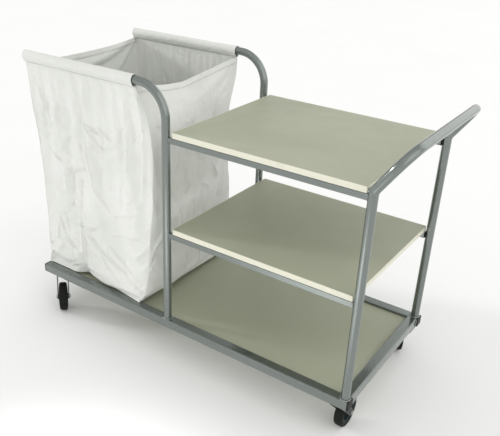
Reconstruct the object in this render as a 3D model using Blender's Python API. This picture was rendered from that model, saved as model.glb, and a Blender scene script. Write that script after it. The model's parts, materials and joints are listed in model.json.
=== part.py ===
"""Housekeeping cart: a welded tube frame with a base deck and two shelves, a push
handle, a laundry bag hung on two cantilever arms, and four swivel casters.

Design frame: +X runs along the cart from the bag end to the handle end, +Y from the
front side to the rear side, +Z up from the floor. Lengths are metres.
"""
import math

import bmesh
import bpy
from mathutils import Matrix, Vector

# Driving dimensions
BASE_LENGTH = 1.200
BASE_WIDTH = 0.528
FIT_GAP = 0.0003

RAIL_SIZE = 0.030
RAIL_WALL = 0.0015
RAIL_TOP = 0.158
END_CAP_THICKNESS = 0.005
PLUG_DEPTH = 0.015

TUBE_RADIUS = 0.0125
TUBE_WALL = 0.0015
TUBE_SIDES = 16
POST_INSET = 0.015
MID_POST_X = 0.561
END_POST_X = 1.183

ARM_HEIGHT = 0.898
ARM_BEND_RADIUS = 0.095
ARM_TIP_X = 0.0
ARM_CAP_THICKNESS = 0.005

HANDLE_FOOT_HEIGHT = 0.767
HANDLE_REACH = 0.073
HANDLE_RISE = 0.106
HANDLE_BEND_RADIUS = 0.060

BOARD_THICKNESS = 0.016
BASE_BOARD_TOP = 0.148
SHELF_BOARD_TOPS = {"middle": 0.4768, "top": 0.7745}
SHELF_LEFT_X = 0.5835
SHELF_RIGHT_X = 1.1680
SHELF_FRONT_Y = 0.012
EDGE_BAND_THICKNESS = 0.0015
SHELF_RAIL_SIZE = 0.018
SHELF_RAIL_WALL = 0.0015
CROSS_RAIL_INSET = 0.060

SUPPORT_THICKNESS = 0.0035
SUPPORT_WIDTH = 0.040
SUPPORT_PLACES = {"left": 0.235, "middle": 0.561, "right": 0.900}
GUSSET_LENGTH = 0.050

WHEEL_RADIUS = 0.050
WHEEL_WIDTH = 0.027
WHEEL_SIDES = 32
HUB_RADIUS = 0.036
HUB_BORE = 0.0043
HUB_BOSS_WIDTH = 0.033
CASTER_TRAIL = 0.051
CASTER_INSET_X = 0.043
CASTER_INSET_Y = 0.041
PLATE_SIZE = (0.077, 0.067)
PLATE_THICKNESS = 0.003
FORK_PLATE = 0.0025
FORK_GAP = 0.035
CROWN_RADIUS = 0.023
CROWN_TOP = 0.1195
CROWN_BOTTOM = 0.1085
KINGPIN_RADIUS = 0.0045
AXLE_RADIUS = 0.0040
# the way each fork trails at rest, in degrees from +X
CASTER_HEADINGS = {
    "front_left": -44.0,
    "front_right": 90.0,
    "rear_left": 75.0,
    "rear_right": 114.0,
}

BAG_LEFT_X = -0.003
BAG_RIGHT_X = 0.4496
BAG_BOTTOM = 0.1595
BAG_FLOOR_RIGHT_X = 0.435
BAG_FLOOR_FRONT_Y = 0.040
BAG_RIM_FRONT_Y = 0.0125
BAG_WALL = 0.004
BAG_BULGE = 0.062
BAG_LEFT_TUCK = 0.022
BAG_SIDE_BULGE = 0.004
BAG_CORNER_RADIUS = 0.018
BAG_RIM_DROP = 0.0015
BAG_RIM_SAG = {"left": 0.010, "right": 0.026}
SLEEVE_INNER = 0.0132
SLEEVE_OUTER = 0.0166

PAINT = ("silver_paint", (0.215, 0.245, 0.240), 0.36, 0.55)
LAMINATE = ("olive_grey_laminate", (0.400, 0.412, 0.310), 0.42, 0.0)
EDGING = ("cream_edging", (0.905, 0.870, 0.690), 0.45, 0.0)
CAP_PLASTIC = ("black_plastic", (0.020, 0.020, 0.022), 0.50, 0.0)
ZINC = ("zinc_plate", (0.580, 0.590, 0.590), 0.32, 0.9)
TYRE_RUBBER = ("black_rubber", (0.018, 0.019, 0.018), 0.68, 0.0)
HUB_PLASTIC = ("dark_nylon", (0.040, 0.048, 0.052), 0.55, 0.0)
BAG_CLOTH = ("white_cloth", (0.790, 0.800, 0.780), 0.85, 0.0)


# ---------------------------------------------------------------- scene helpers
def clear_scene():
    """Remove every object, so that the script always starts from nothing."""
    for old in list(bpy.data.objects):
        bpy.data.objects.remove(old, do_unlink=True)


def material(spec):
    """Return the Principled material of a (name, colour, roughness, metallic) spec."""
    name, colour, roughness, metallic = spec
    found = bpy.data.materials.get(name)
    if found:
        return found
    made = bpy.data.materials.new(name)
    made.use_nodes = True
    shader = made.node_tree.nodes["Principled BSDF"]
    shader.inputs["Base Color"].default_value = (*colour, 1.0)
    shader.inputs["Roughness"].default_value = roughness
    shader.inputs["Metallic"].default_value = metallic
    made.diffuse_color = (*colour, 1.0)
    return made


def add_empty(name, parent, location, heading=0.0):
    """Add an empty that carries a joint's axis or a group of pieces."""
    empty = bpy.data.objects.new(name, None)
    bpy.context.scene.collection.objects.link(empty)
    empty.parent = parent
    empty.location = location
    empty.rotation_euler = (0.0, 0.0, math.radians(heading))
    return empty


def add_piece(name, mesh_shape, spec, parent, location=(0.0, 0.0, 0.0), smooth=False):
    """Turn a bmesh into a named object under its parent."""
    bmesh.ops.recalc_face_normals(mesh_shape, faces=mesh_shape.faces)
    mesh = bpy.data.meshes.new(name)
    mesh_shape.to_mesh(mesh)
    mesh_shape.free()
    if smooth:
        mesh.shade_smooth()
        mesh.set_sharp_from_angle(angle=math.radians(35.0))
    mesh.materials.append(material(spec))
    piece = bpy.data.objects.new(name, mesh)
    bpy.context.scene.collection.objects.link(piece)
    piece.parent = parent
    piece.location = location
    return piece


def combine(target, operand, operation):
    """Join or cut target with a hidden operand, using an exact Boolean."""
    operand.hide_render = True
    operand.display_type = 'WIRE'
    modifier = target.modifiers.new(operation.lower() + "_" + operand.name, 'BOOLEAN')
    modifier.operation = operation
    modifier.solver = 'EXACT'
    modifier.object = operand


# ---------------------------------------------------------------- mesh builders
def rounded_rectangle(width, depth, radius, corner_steps):
    """Points of a rectangle with round corners, counter-clockwise, centred on zero."""
    points = []
    for corner in range(4):
        sign_x = 1 if corner in (0, 3) else -1
        sign_y = 1 if corner in (0, 1) else -1
        centre_x = sign_x * (width / 2 - radius)
        centre_y = sign_y * (depth / 2 - radius)
        for step in range(corner_steps + 1):
            angle = math.pi / 2 * (corner + step / corner_steps)
            points.append((centre_x + radius * math.cos(angle),
                           centre_y + radius * math.sin(angle)))
    return points


def circle(radius, sides, start=0.0):
    """Points of a circle, counter-clockwise."""
    turn = 2 * math.pi / sides
    return [(radius * math.cos(start + turn * i), radius * math.sin(start + turn * i))
            for i in range(sides)]


def bridge(shape, low, high):
    """Make the quads between two rings with the same count of vertices."""
    count = len(low)
    for i in range(count):
        after = (i + 1) % count
        shape.faces.new((low[i], low[after], high[after], high[i]))


def loft(sections):
    """A closed solid through rings of points, capped at both ends."""
    shape = bmesh.new()
    rings = [[shape.verts.new(point) for point in ring] for ring in sections]
    for low, high in zip(rings, rings[1:]):
        bridge(shape, low, high)
    shape.faces.new(list(reversed(rings[0])))
    shape.faces.new(rings[-1])
    return shape


def hollow_loft(outer_sections, inner_sections):
    """A tube wall through matching outer and inner rings, open at both ends."""
    shape = bmesh.new()
    outer = [[shape.verts.new(point) for point in ring] for ring in outer_sections]
    inner = [[shape.verts.new(point) for point in ring] for ring in inner_sections]
    for low, high in zip(outer, outer[1:]):
        bridge(shape, low, high)
    for low, high in zip(inner, inner[1:]):
        bridge(shape, high, low)
    bridge(shape, inner[0], outer[0])
    bridge(shape, outer[-1], inner[-1])
    return shape


def extrude_outline(outline, thickness):
    """A solid plate of an XY outline, from z = 0 to z = thickness."""
    return loft([[Vector((x, y, z)) for x, y in outline] for z in (0.0, thickness)])


def square_tube(size, wall, length):
    """A square tube along +X, centred on the axis, starting at x = 0."""
    outer = rounded_rectangle(size, size, 0.1 * size, 2)
    bore = size - 2 * wall
    inner = rounded_rectangle(bore, bore, 0.04 * size, 2)
    place = [Matrix(((0, 0, 1, x), (1, 0, 0, 0), (0, 1, 0, 0), (0, 0, 0, 1)))
             for x in (0.0, length)]
    return hollow_loft([[m @ Vector((a, b, 0)) for a, b in outer] for m in place],
                       [[m @ Vector((a, b, 0)) for a, b in inner] for m in place])


def turned(profile, sides, start=0.0):
    """A solid of revolution about Y from a closed (y, radius) profile."""
    shape = bmesh.new()
    loops = []
    for i in range(sides):
        angle = start + 2 * math.pi * i / sides
        loops.append([shape.verts.new((radius * math.cos(angle), y, radius * math.sin(angle)))
                      for y, radius in profile])
    for i in range(sides):
        bridge(shape, loops[i], loops[(i + 1) % sides])
    return shape


def bent_path(corners, radius, steps):
    """A polyline through corners, with each inner corner turned as an arc."""
    points = [Vector(corners[0])]
    for before, corner, after in zip(corners, corners[1:], corners[2:]):
        corner = Vector(corner)
        inward = (Vector(before) - corner).normalized()
        outward = (Vector(after) - corner).normalized()
        half_angle = inward.angle(outward) / 2
        setback = radius / math.tan(half_angle)
        bisector = (inward + outward).normalized()
        centre = corner + bisector * radius / math.sin(half_angle)
        start = corner + inward * setback - centre
        end = corner + outward * setback - centre
        sweep = start.angle(end)
        normal = start.cross(end).normalized()
        for step in range(steps + 1):
            turn = Matrix.Rotation(sweep * step / steps, 3, normal)
            points.append(centre + turn @ start)
    points.append(Vector(corners[-1]))
    return points


def swept_tube(path, plane_normal, radius, sides, end_normals=(None, None)):
    """Rings of a round tube along a planar path; the ends may be cut on a mitre."""
    normal = Vector(plane_normal).normalized()
    rings = []
    last = len(path) - 1
    for i, point in enumerate(path):
        before = path[max(i - 1, 0)]
        after = path[min(i + 1, last)]
        tangent = (after - before).normalized()
        if 0 < i < last:
            tangent = ((point - before).normalized() + (after - point).normalized())
            tangent.normalize()
        side = tangent.cross(normal)
        cut = end_normals[0] if i == 0 else end_normals[1] if i == last else None
        ring = []
        for a, b in circle(radius, sides, math.pi / sides):
            vertex = point + normal * a + side * b
            if cut is not None:
                vertex += tangent * ((point - vertex).dot(cut) / tangent.dot(cut))
            ring.append(vertex)
        rings.append(ring)
    return rings


def round_tube(path, plane_normal, end_normals=(None, None)):
    """The wall of a round frame tube along a planar path."""
    outer = swept_tube(path, plane_normal, TUBE_RADIUS, TUBE_SIDES, end_normals)
    inner = swept_tube(path, plane_normal, TUBE_RADIUS - TUBE_WALL, TUBE_SIDES, end_normals)
    return hollow_loft(outer, inner)


# ---------------------------------------------------------------- base frame
def side_y(side, inset):
    """The Y of a line that lies inset from the front or the rear side."""
    return inset if side == "front" else BASE_WIDTH - inset


def add_base_frame(cart):
    """Two long rails, two end rails between them, caps, supports and gussets."""
    rail_z = RAIL_TOP - RAIL_SIZE / 2
    half = RAIL_SIZE / 2
    steel_length = BASE_LENGTH - 2 * END_CAP_THICKNESS
    for side in ("front", "rear"):
        rail = square_tube(RAIL_SIZE, RAIL_WALL, steel_length - 2 * FIT_GAP)
        start = (END_CAP_THICKNESS + FIT_GAP, side_y(side, half), rail_z)
        add_piece("base_rail_" + side, rail, PAINT, cart, start, smooth=True)

    inner_width = BASE_WIDTH - 2 * RAIL_SIZE
    for end, centre_x in (("left", END_CAP_THICKNESS + half),
                          ("right", BASE_LENGTH - END_CAP_THICKNESS - half)):
        rail = square_tube(RAIL_SIZE, RAIL_WALL, inner_width - 2 * FIT_GAP)
        rail.transform(Matrix.Rotation(math.pi / 2, 4, 'Z'))
        start = (centre_x, RAIL_SIZE + FIT_GAP, rail_z)
        add_piece("base_rail_" + end, rail, PAINT, cart, start, smooth=True)

    for end in ("left", "right"):
        for side in ("front", "rear"):
            add_rail_cap(cart, end, side, rail_z)
            add_corner_gusset(cart, end, side)

    for name, centre_x in SUPPORT_PLACES.items():
        bar = extrude_outline(
            rounded_rectangle(SUPPORT_WIDTH, inner_width - 2 * FIT_GAP, 0.001, 1),
            SUPPORT_THICKNESS)
        add_piece("base_support_" + name, bar, PAINT, cart,
                  (centre_x, BASE_WIDTH / 2, RAIL_TOP - RAIL_SIZE))


def add_rail_cap(cart, end, side, rail_z):
    """A square plastic cap whose plug sits in the open end of a long rail."""
    bore = RAIL_SIZE - 2 * RAIL_WALL - 2 * FIT_GAP
    face = rounded_rectangle(RAIL_SIZE, RAIL_SIZE, 0.003, 2)
    rim = rounded_rectangle(RAIL_SIZE - 0.002, RAIL_SIZE - 0.002, 0.002, 2)
    plug = rounded_rectangle(bore, bore, 0.002, 2)
    tip = rounded_rectangle(bore - 0.003, bore - 0.003, 0.001, 2)
    stations = ((0.0, rim), (0.001, face), (END_CAP_THICKNESS, face),
                (END_CAP_THICKNESS, plug), (END_CAP_THICKNESS + PLUG_DEPTH, tip))
    cap = loft([[Vector((x, a, b)) for a, b in outline] for x, outline in stations])
    if end == "right":
        cap.transform(Matrix.Rotation(math.pi, 4, 'Z'))
    end_x = 0.0 if end == "left" else BASE_LENGTH
    add_piece("rail_cap_%s_%s" % (side, end), cap, CAP_PLASTIC, cart,
              (end_x, side_y(side, RAIL_SIZE / 2), rail_z), smooth=True)


def add_corner_gusset(cart, end, side):
    """A flat plate in the corner of the rails, which backs the caster plate."""
    inner_x = END_CAP_THICKNESS + RAIL_SIZE + FIT_GAP
    inner_y = RAIL_SIZE + FIT_GAP
    chamfer = 0.4 * GUSSET_LENGTH
    corner = [(0.0, 0.0), (GUSSET_LENGTH, 0.0), (GUSSET_LENGTH, GUSSET_LENGTH - chamfer),
              (GUSSET_LENGTH - chamfer, GUSSET_LENGTH), (0.0, GUSSET_LENGTH)]
    sign_x = 1 if end == "left" else -1
    sign_y = 1 if side == "front" else -1
    outline = [(sign_x * x, sign_y * y) for x, y in corner]
    origin_x = inner_x if end == "left" else BASE_LENGTH - inner_x
    add_piece("corner_gusset_%s_%s" % (side, end), extrude_outline(outline, SUPPORT_THICKNESS),
              PAINT, cart, (origin_x, side_y(side, inner_y), RAIL_TOP - RAIL_SIZE))


# ---------------------------------------------------------------- uprights
def add_arm_posts(cart):
    """Mid posts that bend over into the two cantilever arms of the bag."""
    foot_z = RAIL_TOP + FIT_GAP
    for side in ("front", "rear"):
        line_y = side_y(side, POST_INSET)
        corners = [(MID_POST_X, line_y, foot_z), (MID_POST_X, line_y, ARM_HEIGHT),
                   (ARM_TIP_X, line_y, ARM_HEIGHT)]
        path = bent_path(corners, ARM_BEND_RADIUS, 7)
        add_piece("arm_post_" + side, round_tube(path, (0, 1, 0)), PAINT, cart, smooth=True)

        bore = TUBE_RADIUS - TUBE_WALL - FIT_GAP
        stations = ((-ARM_CAP_THICKNESS, TUBE_RADIUS - 0.003), (-0.003, TUBE_RADIUS - 0.0006),
                    (-0.002, TUBE_RADIUS), (-FIT_GAP, TUBE_RADIUS), (-FIT_GAP, bore),
                    (PLUG_DEPTH, bore - 0.001))
        cap = loft([[Vector((x, a, b)) for a, b in circle(radius, TUBE_SIDES)]
                    for x, radius in stations])
        add_piece("arm_cap_" + side, cap, CAP_PLASTIC, cart,
                  (ARM_TIP_X, line_y, ARM_HEIGHT), smooth=True)


def add_handle_end(cart):
    """End posts and the push handle hoop, mitred where the hoop leans outward."""
    slant = Vector((HANDLE_REACH, 0.0, HANDLE_RISE)).normalized()
    mitre = (slant + Vector((0.0, 0.0, 1.0))).normalized()
    for side in ("front", "rear"):
        line_y = side_y(side, POST_INSET)
        foot = Vector((END_POST_X, line_y, RAIL_TOP + FIT_GAP))
        head = Vector((END_POST_X, line_y, HANDLE_FOOT_HEIGHT))
        post = round_tube([foot, head], (0, 1, 0), (None, mitre))
        add_piece("end_post_" + side, post, PAINT, cart, smooth=True)

    ends = {}
    for side in ("front", "rear"):
        foot = Vector((END_POST_X, side_y(side, POST_INSET), HANDLE_FOOT_HEIGHT))
        corner = foot + Vector((HANDLE_REACH, 0.0, HANDLE_RISE))
        ends[side] = (foot + slant * FIT_GAP / slant.dot(mitre), corner)
    corners = [ends["front"][0], ends["front"][1], ends["rear"][1], ends["rear"][0]]
    path = bent_path(corners, HANDLE_BEND_RADIUS, 6)
    plane_normal = slant.cross(Vector((0.0, 1.0, 0.0)))
    hoop = round_tube(path, plane_normal, (mitre, mitre))
    add_piece("push_handle", hoop, PAINT, cart, smooth=True)


# ---------------------------------------------------------------- boards and shelves
def add_board(name, left, right, front, rear, top, banded, cart):
    """A laminated board, with a thin edging all round if it is banded."""
    width = right - left
    depth = rear - front
    centre = ((left + right) / 2, (front + rear) / 2, top - BOARD_THICKNESS)
    core_cut = 2 * (EDGE_BAND_THICKNESS + FIT_GAP) if banded else 0.0
    outline = rounded_rectangle(width - core_cut, depth - core_cut, 0.001, 1)
    add_piece(name + "_board", extrude_outline(outline, BOARD_THICKNESS), LAMINATE,
              cart, centre)
    if not banded:
        return
    outer = rounded_rectangle(width, depth, 0.0025, 3)
    inner_cut = 2 * EDGE_BAND_THICKNESS
    inner = rounded_rectangle(width - inner_cut, depth - inner_cut, 0.001, 3)
    levels = (0.0002, BOARD_THICKNESS - 0.0002)
    band = hollow_loft([[Vector((a, b, z)) for a, b in outer] for z in levels],
                       [[Vector((a, b, z)) for a, b in inner] for z in levels])
    add_piece(name + "_edging", band, EDGING, cart, centre)


def add_shelf(name, cart):
    """Four shelf rails welded between the posts and the banded board on top."""
    board_top = SHELF_BOARD_TOPS[name]
    rear_y = BASE_WIDTH - SHELF_FRONT_Y
    add_board(name + "_shelf", SHELF_LEFT_X, SHELF_RIGHT_X, SHELF_FRONT_Y, rear_y,
              board_top, True, cart)

    half = SHELF_RAIL_SIZE / 2
    rail_z = board_top - BOARD_THICKNESS - FIT_GAP - half
    rail_y = SHELF_FRONT_Y + half
    start_x = MID_POST_X + TUBE_RADIUS + FIT_GAP
    end_x = END_POST_X - TUBE_RADIUS - FIT_GAP
    for side in ("front", "rear"):
        rail = square_tube(SHELF_RAIL_SIZE, SHELF_RAIL_WALL, end_x - start_x)
        add_piece("%s_shelf_rail_%s" % (name, side), rail, PAINT, cart,
                  (start_x, side_y(side, rail_y), rail_z), smooth=True)

    cross_start = SHELF_FRONT_Y + SHELF_RAIL_SIZE + FIT_GAP
    cross_length = BASE_WIDTH - 2 * cross_start
    for end, centre_x in (("left", SHELF_LEFT_X + CROSS_RAIL_INSET),
                          ("right", SHELF_RIGHT_X - CROSS_RAIL_INSET)):
        rail = square_tube(SHELF_RAIL_SIZE, SHELF_RAIL_WALL, cross_length)
        rail.transform(Matrix.Rotation(math.pi / 2, 4, 'Z'))
        add_piece("%s_shelf_cross_%s" % (name, end), rail, PAINT, cart,
                  (centre_x, cross_start, rail_z), smooth=True)


def add_base_board(cart):
    """The deck board, sunk below the tops of the rails that surround it."""
    gap = 0.0008
    end_x = END_CAP_THICKNESS + RAIL_SIZE + gap
    side = RAIL_SIZE + gap
    add_board("base", end_x, BASE_LENGTH - end_x, side, BASE_WIDTH - side,
              BASE_BOARD_TOP, False, cart)


# ---------------------------------------------------------------- casters
def add_caster(corner, cart):
    """Fixed plate with its kingpin, swivelling fork with its axle, turning wheel."""
    side, end = corner.split("_")
    swivel_x = CASTER_INSET_X if end == "left" else BASE_LENGTH - CASTER_INSET_X
    swivel_y = side_y(side, CASTER_INSET_Y)
    add_caster_plate(corner, cart, swivel_x, swivel_y)
    swivel = add_empty("swivel_" + corner, cart, (swivel_x, swivel_y, 0.0),
                       CASTER_HEADINGS[corner])
    add_fork(corner, swivel)
    hub_centre = add_empty("axle_" + corner, swivel, (CASTER_TRAIL, 0.0, WHEEL_RADIUS))
    add_axle_bolt(corner, hub_centre)
    add_wheel(corner, hub_centre)


def add_caster_plate(corner, cart, swivel_x, swivel_y):
    """Top plate with its race and the riveted kingpin below it."""
    top = RAIL_TOP - RAIL_SIZE - FIT_GAP
    plate = add_piece("caster_plate_" + corner,
                      extrude_outline(rounded_rectangle(*PLATE_SIZE, 0.007, 3), PLATE_THICKNESS),
                      ZINC, cart, (swivel_x, swivel_y, top - PLATE_THICKNESS))
    race_bottom = CROWN_TOP + FIT_GAP
    head_top = CROWN_BOTTOM - FIT_GAP
    levels = ((head_top - 0.003, 0.0060), (head_top - 0.001, 0.0075), (head_top, 0.0075),
              (head_top, KINGPIN_RADIUS), (race_bottom, KINGPIN_RADIUS),
              (race_bottom, CROWN_RADIUS - 0.002), (race_bottom + 0.004, CROWN_RADIUS + 0.001),
              (top - PLATE_THICKNESS / 2, CROWN_RADIUS + 0.001))
    race = loft([[Vector((a, b, z)) for a, b in circle(radius, 20)] for z, radius in levels])
    race_piece = add_piece("race_operand_" + corner, race, ZINC, cart, (swivel_x, swivel_y, 0.0))
    combine(plate, race_piece, 'UNION')


def fork_leg_outline():
    """Side view of a fork leg as (along trail, up) points, round about the axle."""
    end_radius = 0.011
    leading_edge = -0.017
    trailing_edge = 0.021
    shoulder = CROWN_TOP - 0.003
    points = [(leading_edge, shoulder), (leading_edge, CROWN_BOTTOM - 0.006)]
    start = math.radians(205.0)
    end = math.radians(372.0)
    steps = 8
    for step in range(steps + 1):
        angle = start + (end - start) * step / steps
        points.append((CASTER_TRAIL + end_radius * math.cos(angle),
                       WHEEL_RADIUS + end_radius * math.sin(angle)))
    points.append((trailing_edge + 0.004, CROWN_BOTTOM - 0.012))
    points.append((trailing_edge, shoulder))
    return points


def add_fork(corner, swivel):
    """Pressed fork: a round crown with the kingpin hole and two legs."""
    crown_levels = ((CROWN_BOTTOM, CROWN_RADIUS - 0.001), (CROWN_TOP - 0.002, CROWN_RADIUS),
                    (CROWN_TOP, CROWN_RADIUS - 0.002))
    hole = KINGPIN_RADIUS + 2 * FIT_GAP
    crown = hollow_loft(
        [[Vector((a, b, z)) for a, b in circle(radius, 20)] for z, radius in crown_levels],
        [[Vector((a, b, z)) for a, b in circle(hole, 20)] for z, _ in crown_levels])
    fork = add_piece("caster_fork_" + corner, crown, ZINC, swivel)
    outline = fork_leg_outline()
    for sign, hand in ((1, "a"), (-1, "b")):
        inner = sign * FORK_GAP / 2
        outer = sign * (FORK_GAP / 2 + FORK_PLATE)
        leg = loft([[Vector((x, y, z)) for x, z in outline] for y in (inner, outer)])
        operand = add_piece("leg_operand_%s_%s" % (corner, hand), leg, ZINC, swivel)
        combine(fork, operand, 'UNION')
    axle_hole = loft([[Vector((CASTER_TRAIL + a, y, WHEEL_RADIUS + b))
                       for a, b in circle(AXLE_RADIUS + FIT_GAP, 12)]
                      for y in (-FORK_GAP, FORK_GAP)])
    cutter = add_piece("axle_cutter_" + corner, axle_hole, ZINC, swivel)
    combine(fork, cutter, 'DIFFERENCE')


def add_axle_bolt(corner, hub_centre):
    """Axle bolt across the fork: hexagon head, shank and hexagon nut."""
    sides = 12
    half_flat = 0.0065
    face = FORK_GAP / 2 + FORK_PLATE + FIT_GAP

    def hexagon():
        points = []
        for i in range(sides):
            angle = 2 * math.pi * i / sides
            reach = half_flat / math.cos((angle + math.pi / 6) % (math.pi / 3) - math.pi / 6)
            points.append((reach * math.cos(angle), reach * math.sin(angle)))
        return points

    head = hexagon()
    shank = circle(AXLE_RADIUS, sides)
    end = circle(AXLE_RADIUS - 0.001, sides)
    stations = ((-face - 0.0053, head), (-face, head), (-face, shank), (face, shank),
                (face, head), (face + 0.0065, head), (face + 0.0065, shank),
                (face + 0.0090, end))
    bolt = loft([[Vector((a, y, b)) for a, b in outline] for y, outline in stations])
    add_piece("axle_bolt_" + corner, bolt, ZINC, hub_centre)


def add_wheel(corner, hub_centre):
    """Rubber tyre on a nylon wheel centre, both turned about the axle."""
    # a flat of the tyre's polygon touches the floor, so the wheel rests without rocking
    grow = 1 / math.cos(math.pi / WHEEL_SIDES)
    half = WHEEL_WIDTH / 2
    start = math.pi / 2 + math.pi / WHEEL_SIDES
    tread = WHEEL_RADIUS * grow
    seat = HUB_RADIUS * grow
    tyre_profile = [(-half + 0.001, seat), (-half, seat + 0.004), (-half + 0.001, tread - 0.005),
                    (-half + 0.005, tread), (half - 0.005, tread), (half - 0.001, tread - 0.005),
                    (half, seat + 0.004), (half - 0.001, seat)]
    add_piece("tyre_" + corner, turned(tyre_profile, WHEEL_SIDES, start), TYRE_RUBBER,
              hub_centre, smooth=True)

    rim = seat - FIT_GAP
    rim_half = half - 0.002
    web_half = 0.004
    boss_half = HUB_BOSS_WIDTH / 2
    side_profile = [(boss_half, HUB_BORE), (boss_half, 0.0105), (web_half, 0.0125),
                    (web_half, rim - 0.005), (rim_half, rim - 0.003), (rim_half, rim)]
    hub_profile = side_profile + [(-y, radius) for y, radius in reversed(side_profile)]
    add_piece("wheel_hub_" + corner, turned(hub_profile, WHEEL_SIDES, start), HUB_PLASTIC,
              hub_centre, smooth=True)


# ---------------------------------------------------------------- laundry bag
def bag_outline(level, shrink):
    """Corner-rounded plan of the bag at a height level from 0 (bottom) to 1 (rim)."""
    belly = math.sin(math.pi * level)
    left = BAG_LEFT_X + BAG_LEFT_TUCK * belly + shrink
    right = (1 - level) * BAG_FLOOR_RIGHT_X + level * BAG_RIGHT_X + BAG_BULGE * belly - shrink
    front = (1 - level) * BAG_FLOOR_FRONT_Y + level * BAG_RIM_FRONT_Y - BAG_SIDE_BULGE * belly
    front += shrink
    rear = BASE_WIDTH - front
    corner = max(BAG_CORNER_RADIUS - shrink, 0.004)
    outline = rounded_rectangle(right - left, rear - front, corner, 3)
    return [((left + right) / 2 + x, BASE_WIDTH / 2 + y) for x, y in outline]


def bag_rim_height(x, y):
    """Height of the rim: level along the sleeves, sagging across the open ends."""
    sleeve_line = ARM_HEIGHT - SLEEVE_INNER - BAG_RIM_DROP
    across = max(0.0, min(1.0, (y - POST_INSET) / (BASE_WIDTH - 2 * POST_INSET)))
    end = "right" if x > (BAG_LEFT_X + BAG_RIGHT_X) / 2 else "left"
    return sleeve_line - BAG_RIM_SAG[end] * math.sin(math.pi * across)


def bag_sections(shrink, floor, levels):
    """Rings of points up the bag's wall, the top one following the rim."""
    rings = []
    for step in range(levels + 1):
        level = step / levels
        ring = []
        for x, y in bag_outline(level, shrink):
            ring.append(Vector((x, y, floor + (bag_rim_height(x, y) - floor) * level)))
        rings.append(ring)
    return rings


def add_laundry_bag(cart):
    """Open cloth bag with a sleeve along each long rim, slid over the two arms."""
    levels = 8
    shape = bmesh.new()
    outer = [[shape.verts.new(p) for p in ring] for ring in bag_sections(0.0, BAG_BOTTOM, levels)]
    inner_floor = BAG_BOTTOM + BAG_WALL
    inner = [[shape.verts.new(p) for p in ring]
             for ring in bag_sections(BAG_WALL, inner_floor, levels)]
    for low, high in zip(outer, outer[1:]):
        bridge(shape, low, high)
    for low, high in zip(inner, inner[1:]):
        bridge(shape, high, low)
    bridge(shape, outer[-1], inner[-1])
    shape.faces.new(list(reversed(outer[0])))
    shape.faces.new(inner[0])
    bag = add_piece("laundry_bag", shape, BAG_CLOTH, cart, smooth=True)

    for side in ("front", "rear"):
        centre_y = side_y(side, POST_INSET)
        ends = (BAG_LEFT_X, BAG_RIGHT_X)
        sleeve = hollow_loft(
            [[Vector((x, centre_y + a, ARM_HEIGHT + b)) for a, b in circle(SLEEVE_OUTER, 20)]
             for x in ends],
            [[Vector((x, centre_y + a, ARM_HEIGHT + b)) for a, b in circle(SLEEVE_INNER, 20)]
             for x in ends])
        operand = add_piece("sleeve_operand_" + side, sleeve, BAG_CLOTH, cart)
        combine(bag, operand, 'UNION')


# ---------------------------------------------------------------- assembly
def stand_on_origin(cart):
    """Move the whole cart so that the centre of its footprint is the origin."""
    bpy.context.view_layer.update()
    graph = bpy.context.evaluated_depsgraph_get()
    low = Vector((math.inf,) * 3)
    high = Vector((-math.inf,) * 3)
    for piece in bpy.data.objects:
        if piece.type != 'MESH' or piece.hide_render:
            continue
        evaluated = piece.evaluated_get(graph)
        for vertex in evaluated.data.vertices:
            point = evaluated.matrix_world @ vertex.co
            low = Vector(map(min, low, point))
            high = Vector(map(max, high, point))
    cart.location = (-(low.x + high.x) / 2, -(low.y + high.y) / 2, -low.z)
    bpy.context.view_layer.update()


def build_cart():
    clear_scene()
    cart = add_empty("cart", None, (0.0, 0.0, 0.0))
    add_base_frame(cart)
    add_arm_posts(cart)
    add_handle_end(cart)
    add_base_board(cart)
    for name in SHELF_BOARD_TOPS:
        add_shelf(name, cart)
    for corner in CASTER_HEADINGS:
        add_caster(corner, cart)
    add_laundry_bag(cart)
    stand_on_origin(cart)


build_cart()
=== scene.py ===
"""Looks of the housekeeping cart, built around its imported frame.

Lengths are metres. Places are given in the cart's own directions: x from the bag end of
the base to the handle end, y from the front side to the rear side, z up from the floor.
"""
import json
import math
import random

import bmesh
import bpy
import numpy as np
from mathutils import Matrix, Vector, noise


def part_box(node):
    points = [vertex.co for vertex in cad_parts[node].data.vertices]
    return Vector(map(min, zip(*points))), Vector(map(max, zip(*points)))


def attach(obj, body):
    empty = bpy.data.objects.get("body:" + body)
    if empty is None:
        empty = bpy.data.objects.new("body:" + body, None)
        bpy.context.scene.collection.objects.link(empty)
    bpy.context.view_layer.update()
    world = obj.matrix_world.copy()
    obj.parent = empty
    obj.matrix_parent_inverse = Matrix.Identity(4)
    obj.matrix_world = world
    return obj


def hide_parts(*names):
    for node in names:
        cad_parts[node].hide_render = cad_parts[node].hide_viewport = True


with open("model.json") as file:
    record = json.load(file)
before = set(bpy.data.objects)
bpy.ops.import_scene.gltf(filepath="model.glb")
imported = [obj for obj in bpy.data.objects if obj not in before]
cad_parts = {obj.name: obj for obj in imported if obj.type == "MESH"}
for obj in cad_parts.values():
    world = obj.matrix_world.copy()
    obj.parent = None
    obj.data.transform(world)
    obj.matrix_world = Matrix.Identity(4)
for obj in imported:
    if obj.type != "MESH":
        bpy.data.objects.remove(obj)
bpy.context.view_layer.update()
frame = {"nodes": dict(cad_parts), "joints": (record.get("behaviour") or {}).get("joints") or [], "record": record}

# noise_vector would otherwise take its seed from the clock, and differ from run to run.
noise.seed_set(1)

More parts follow.
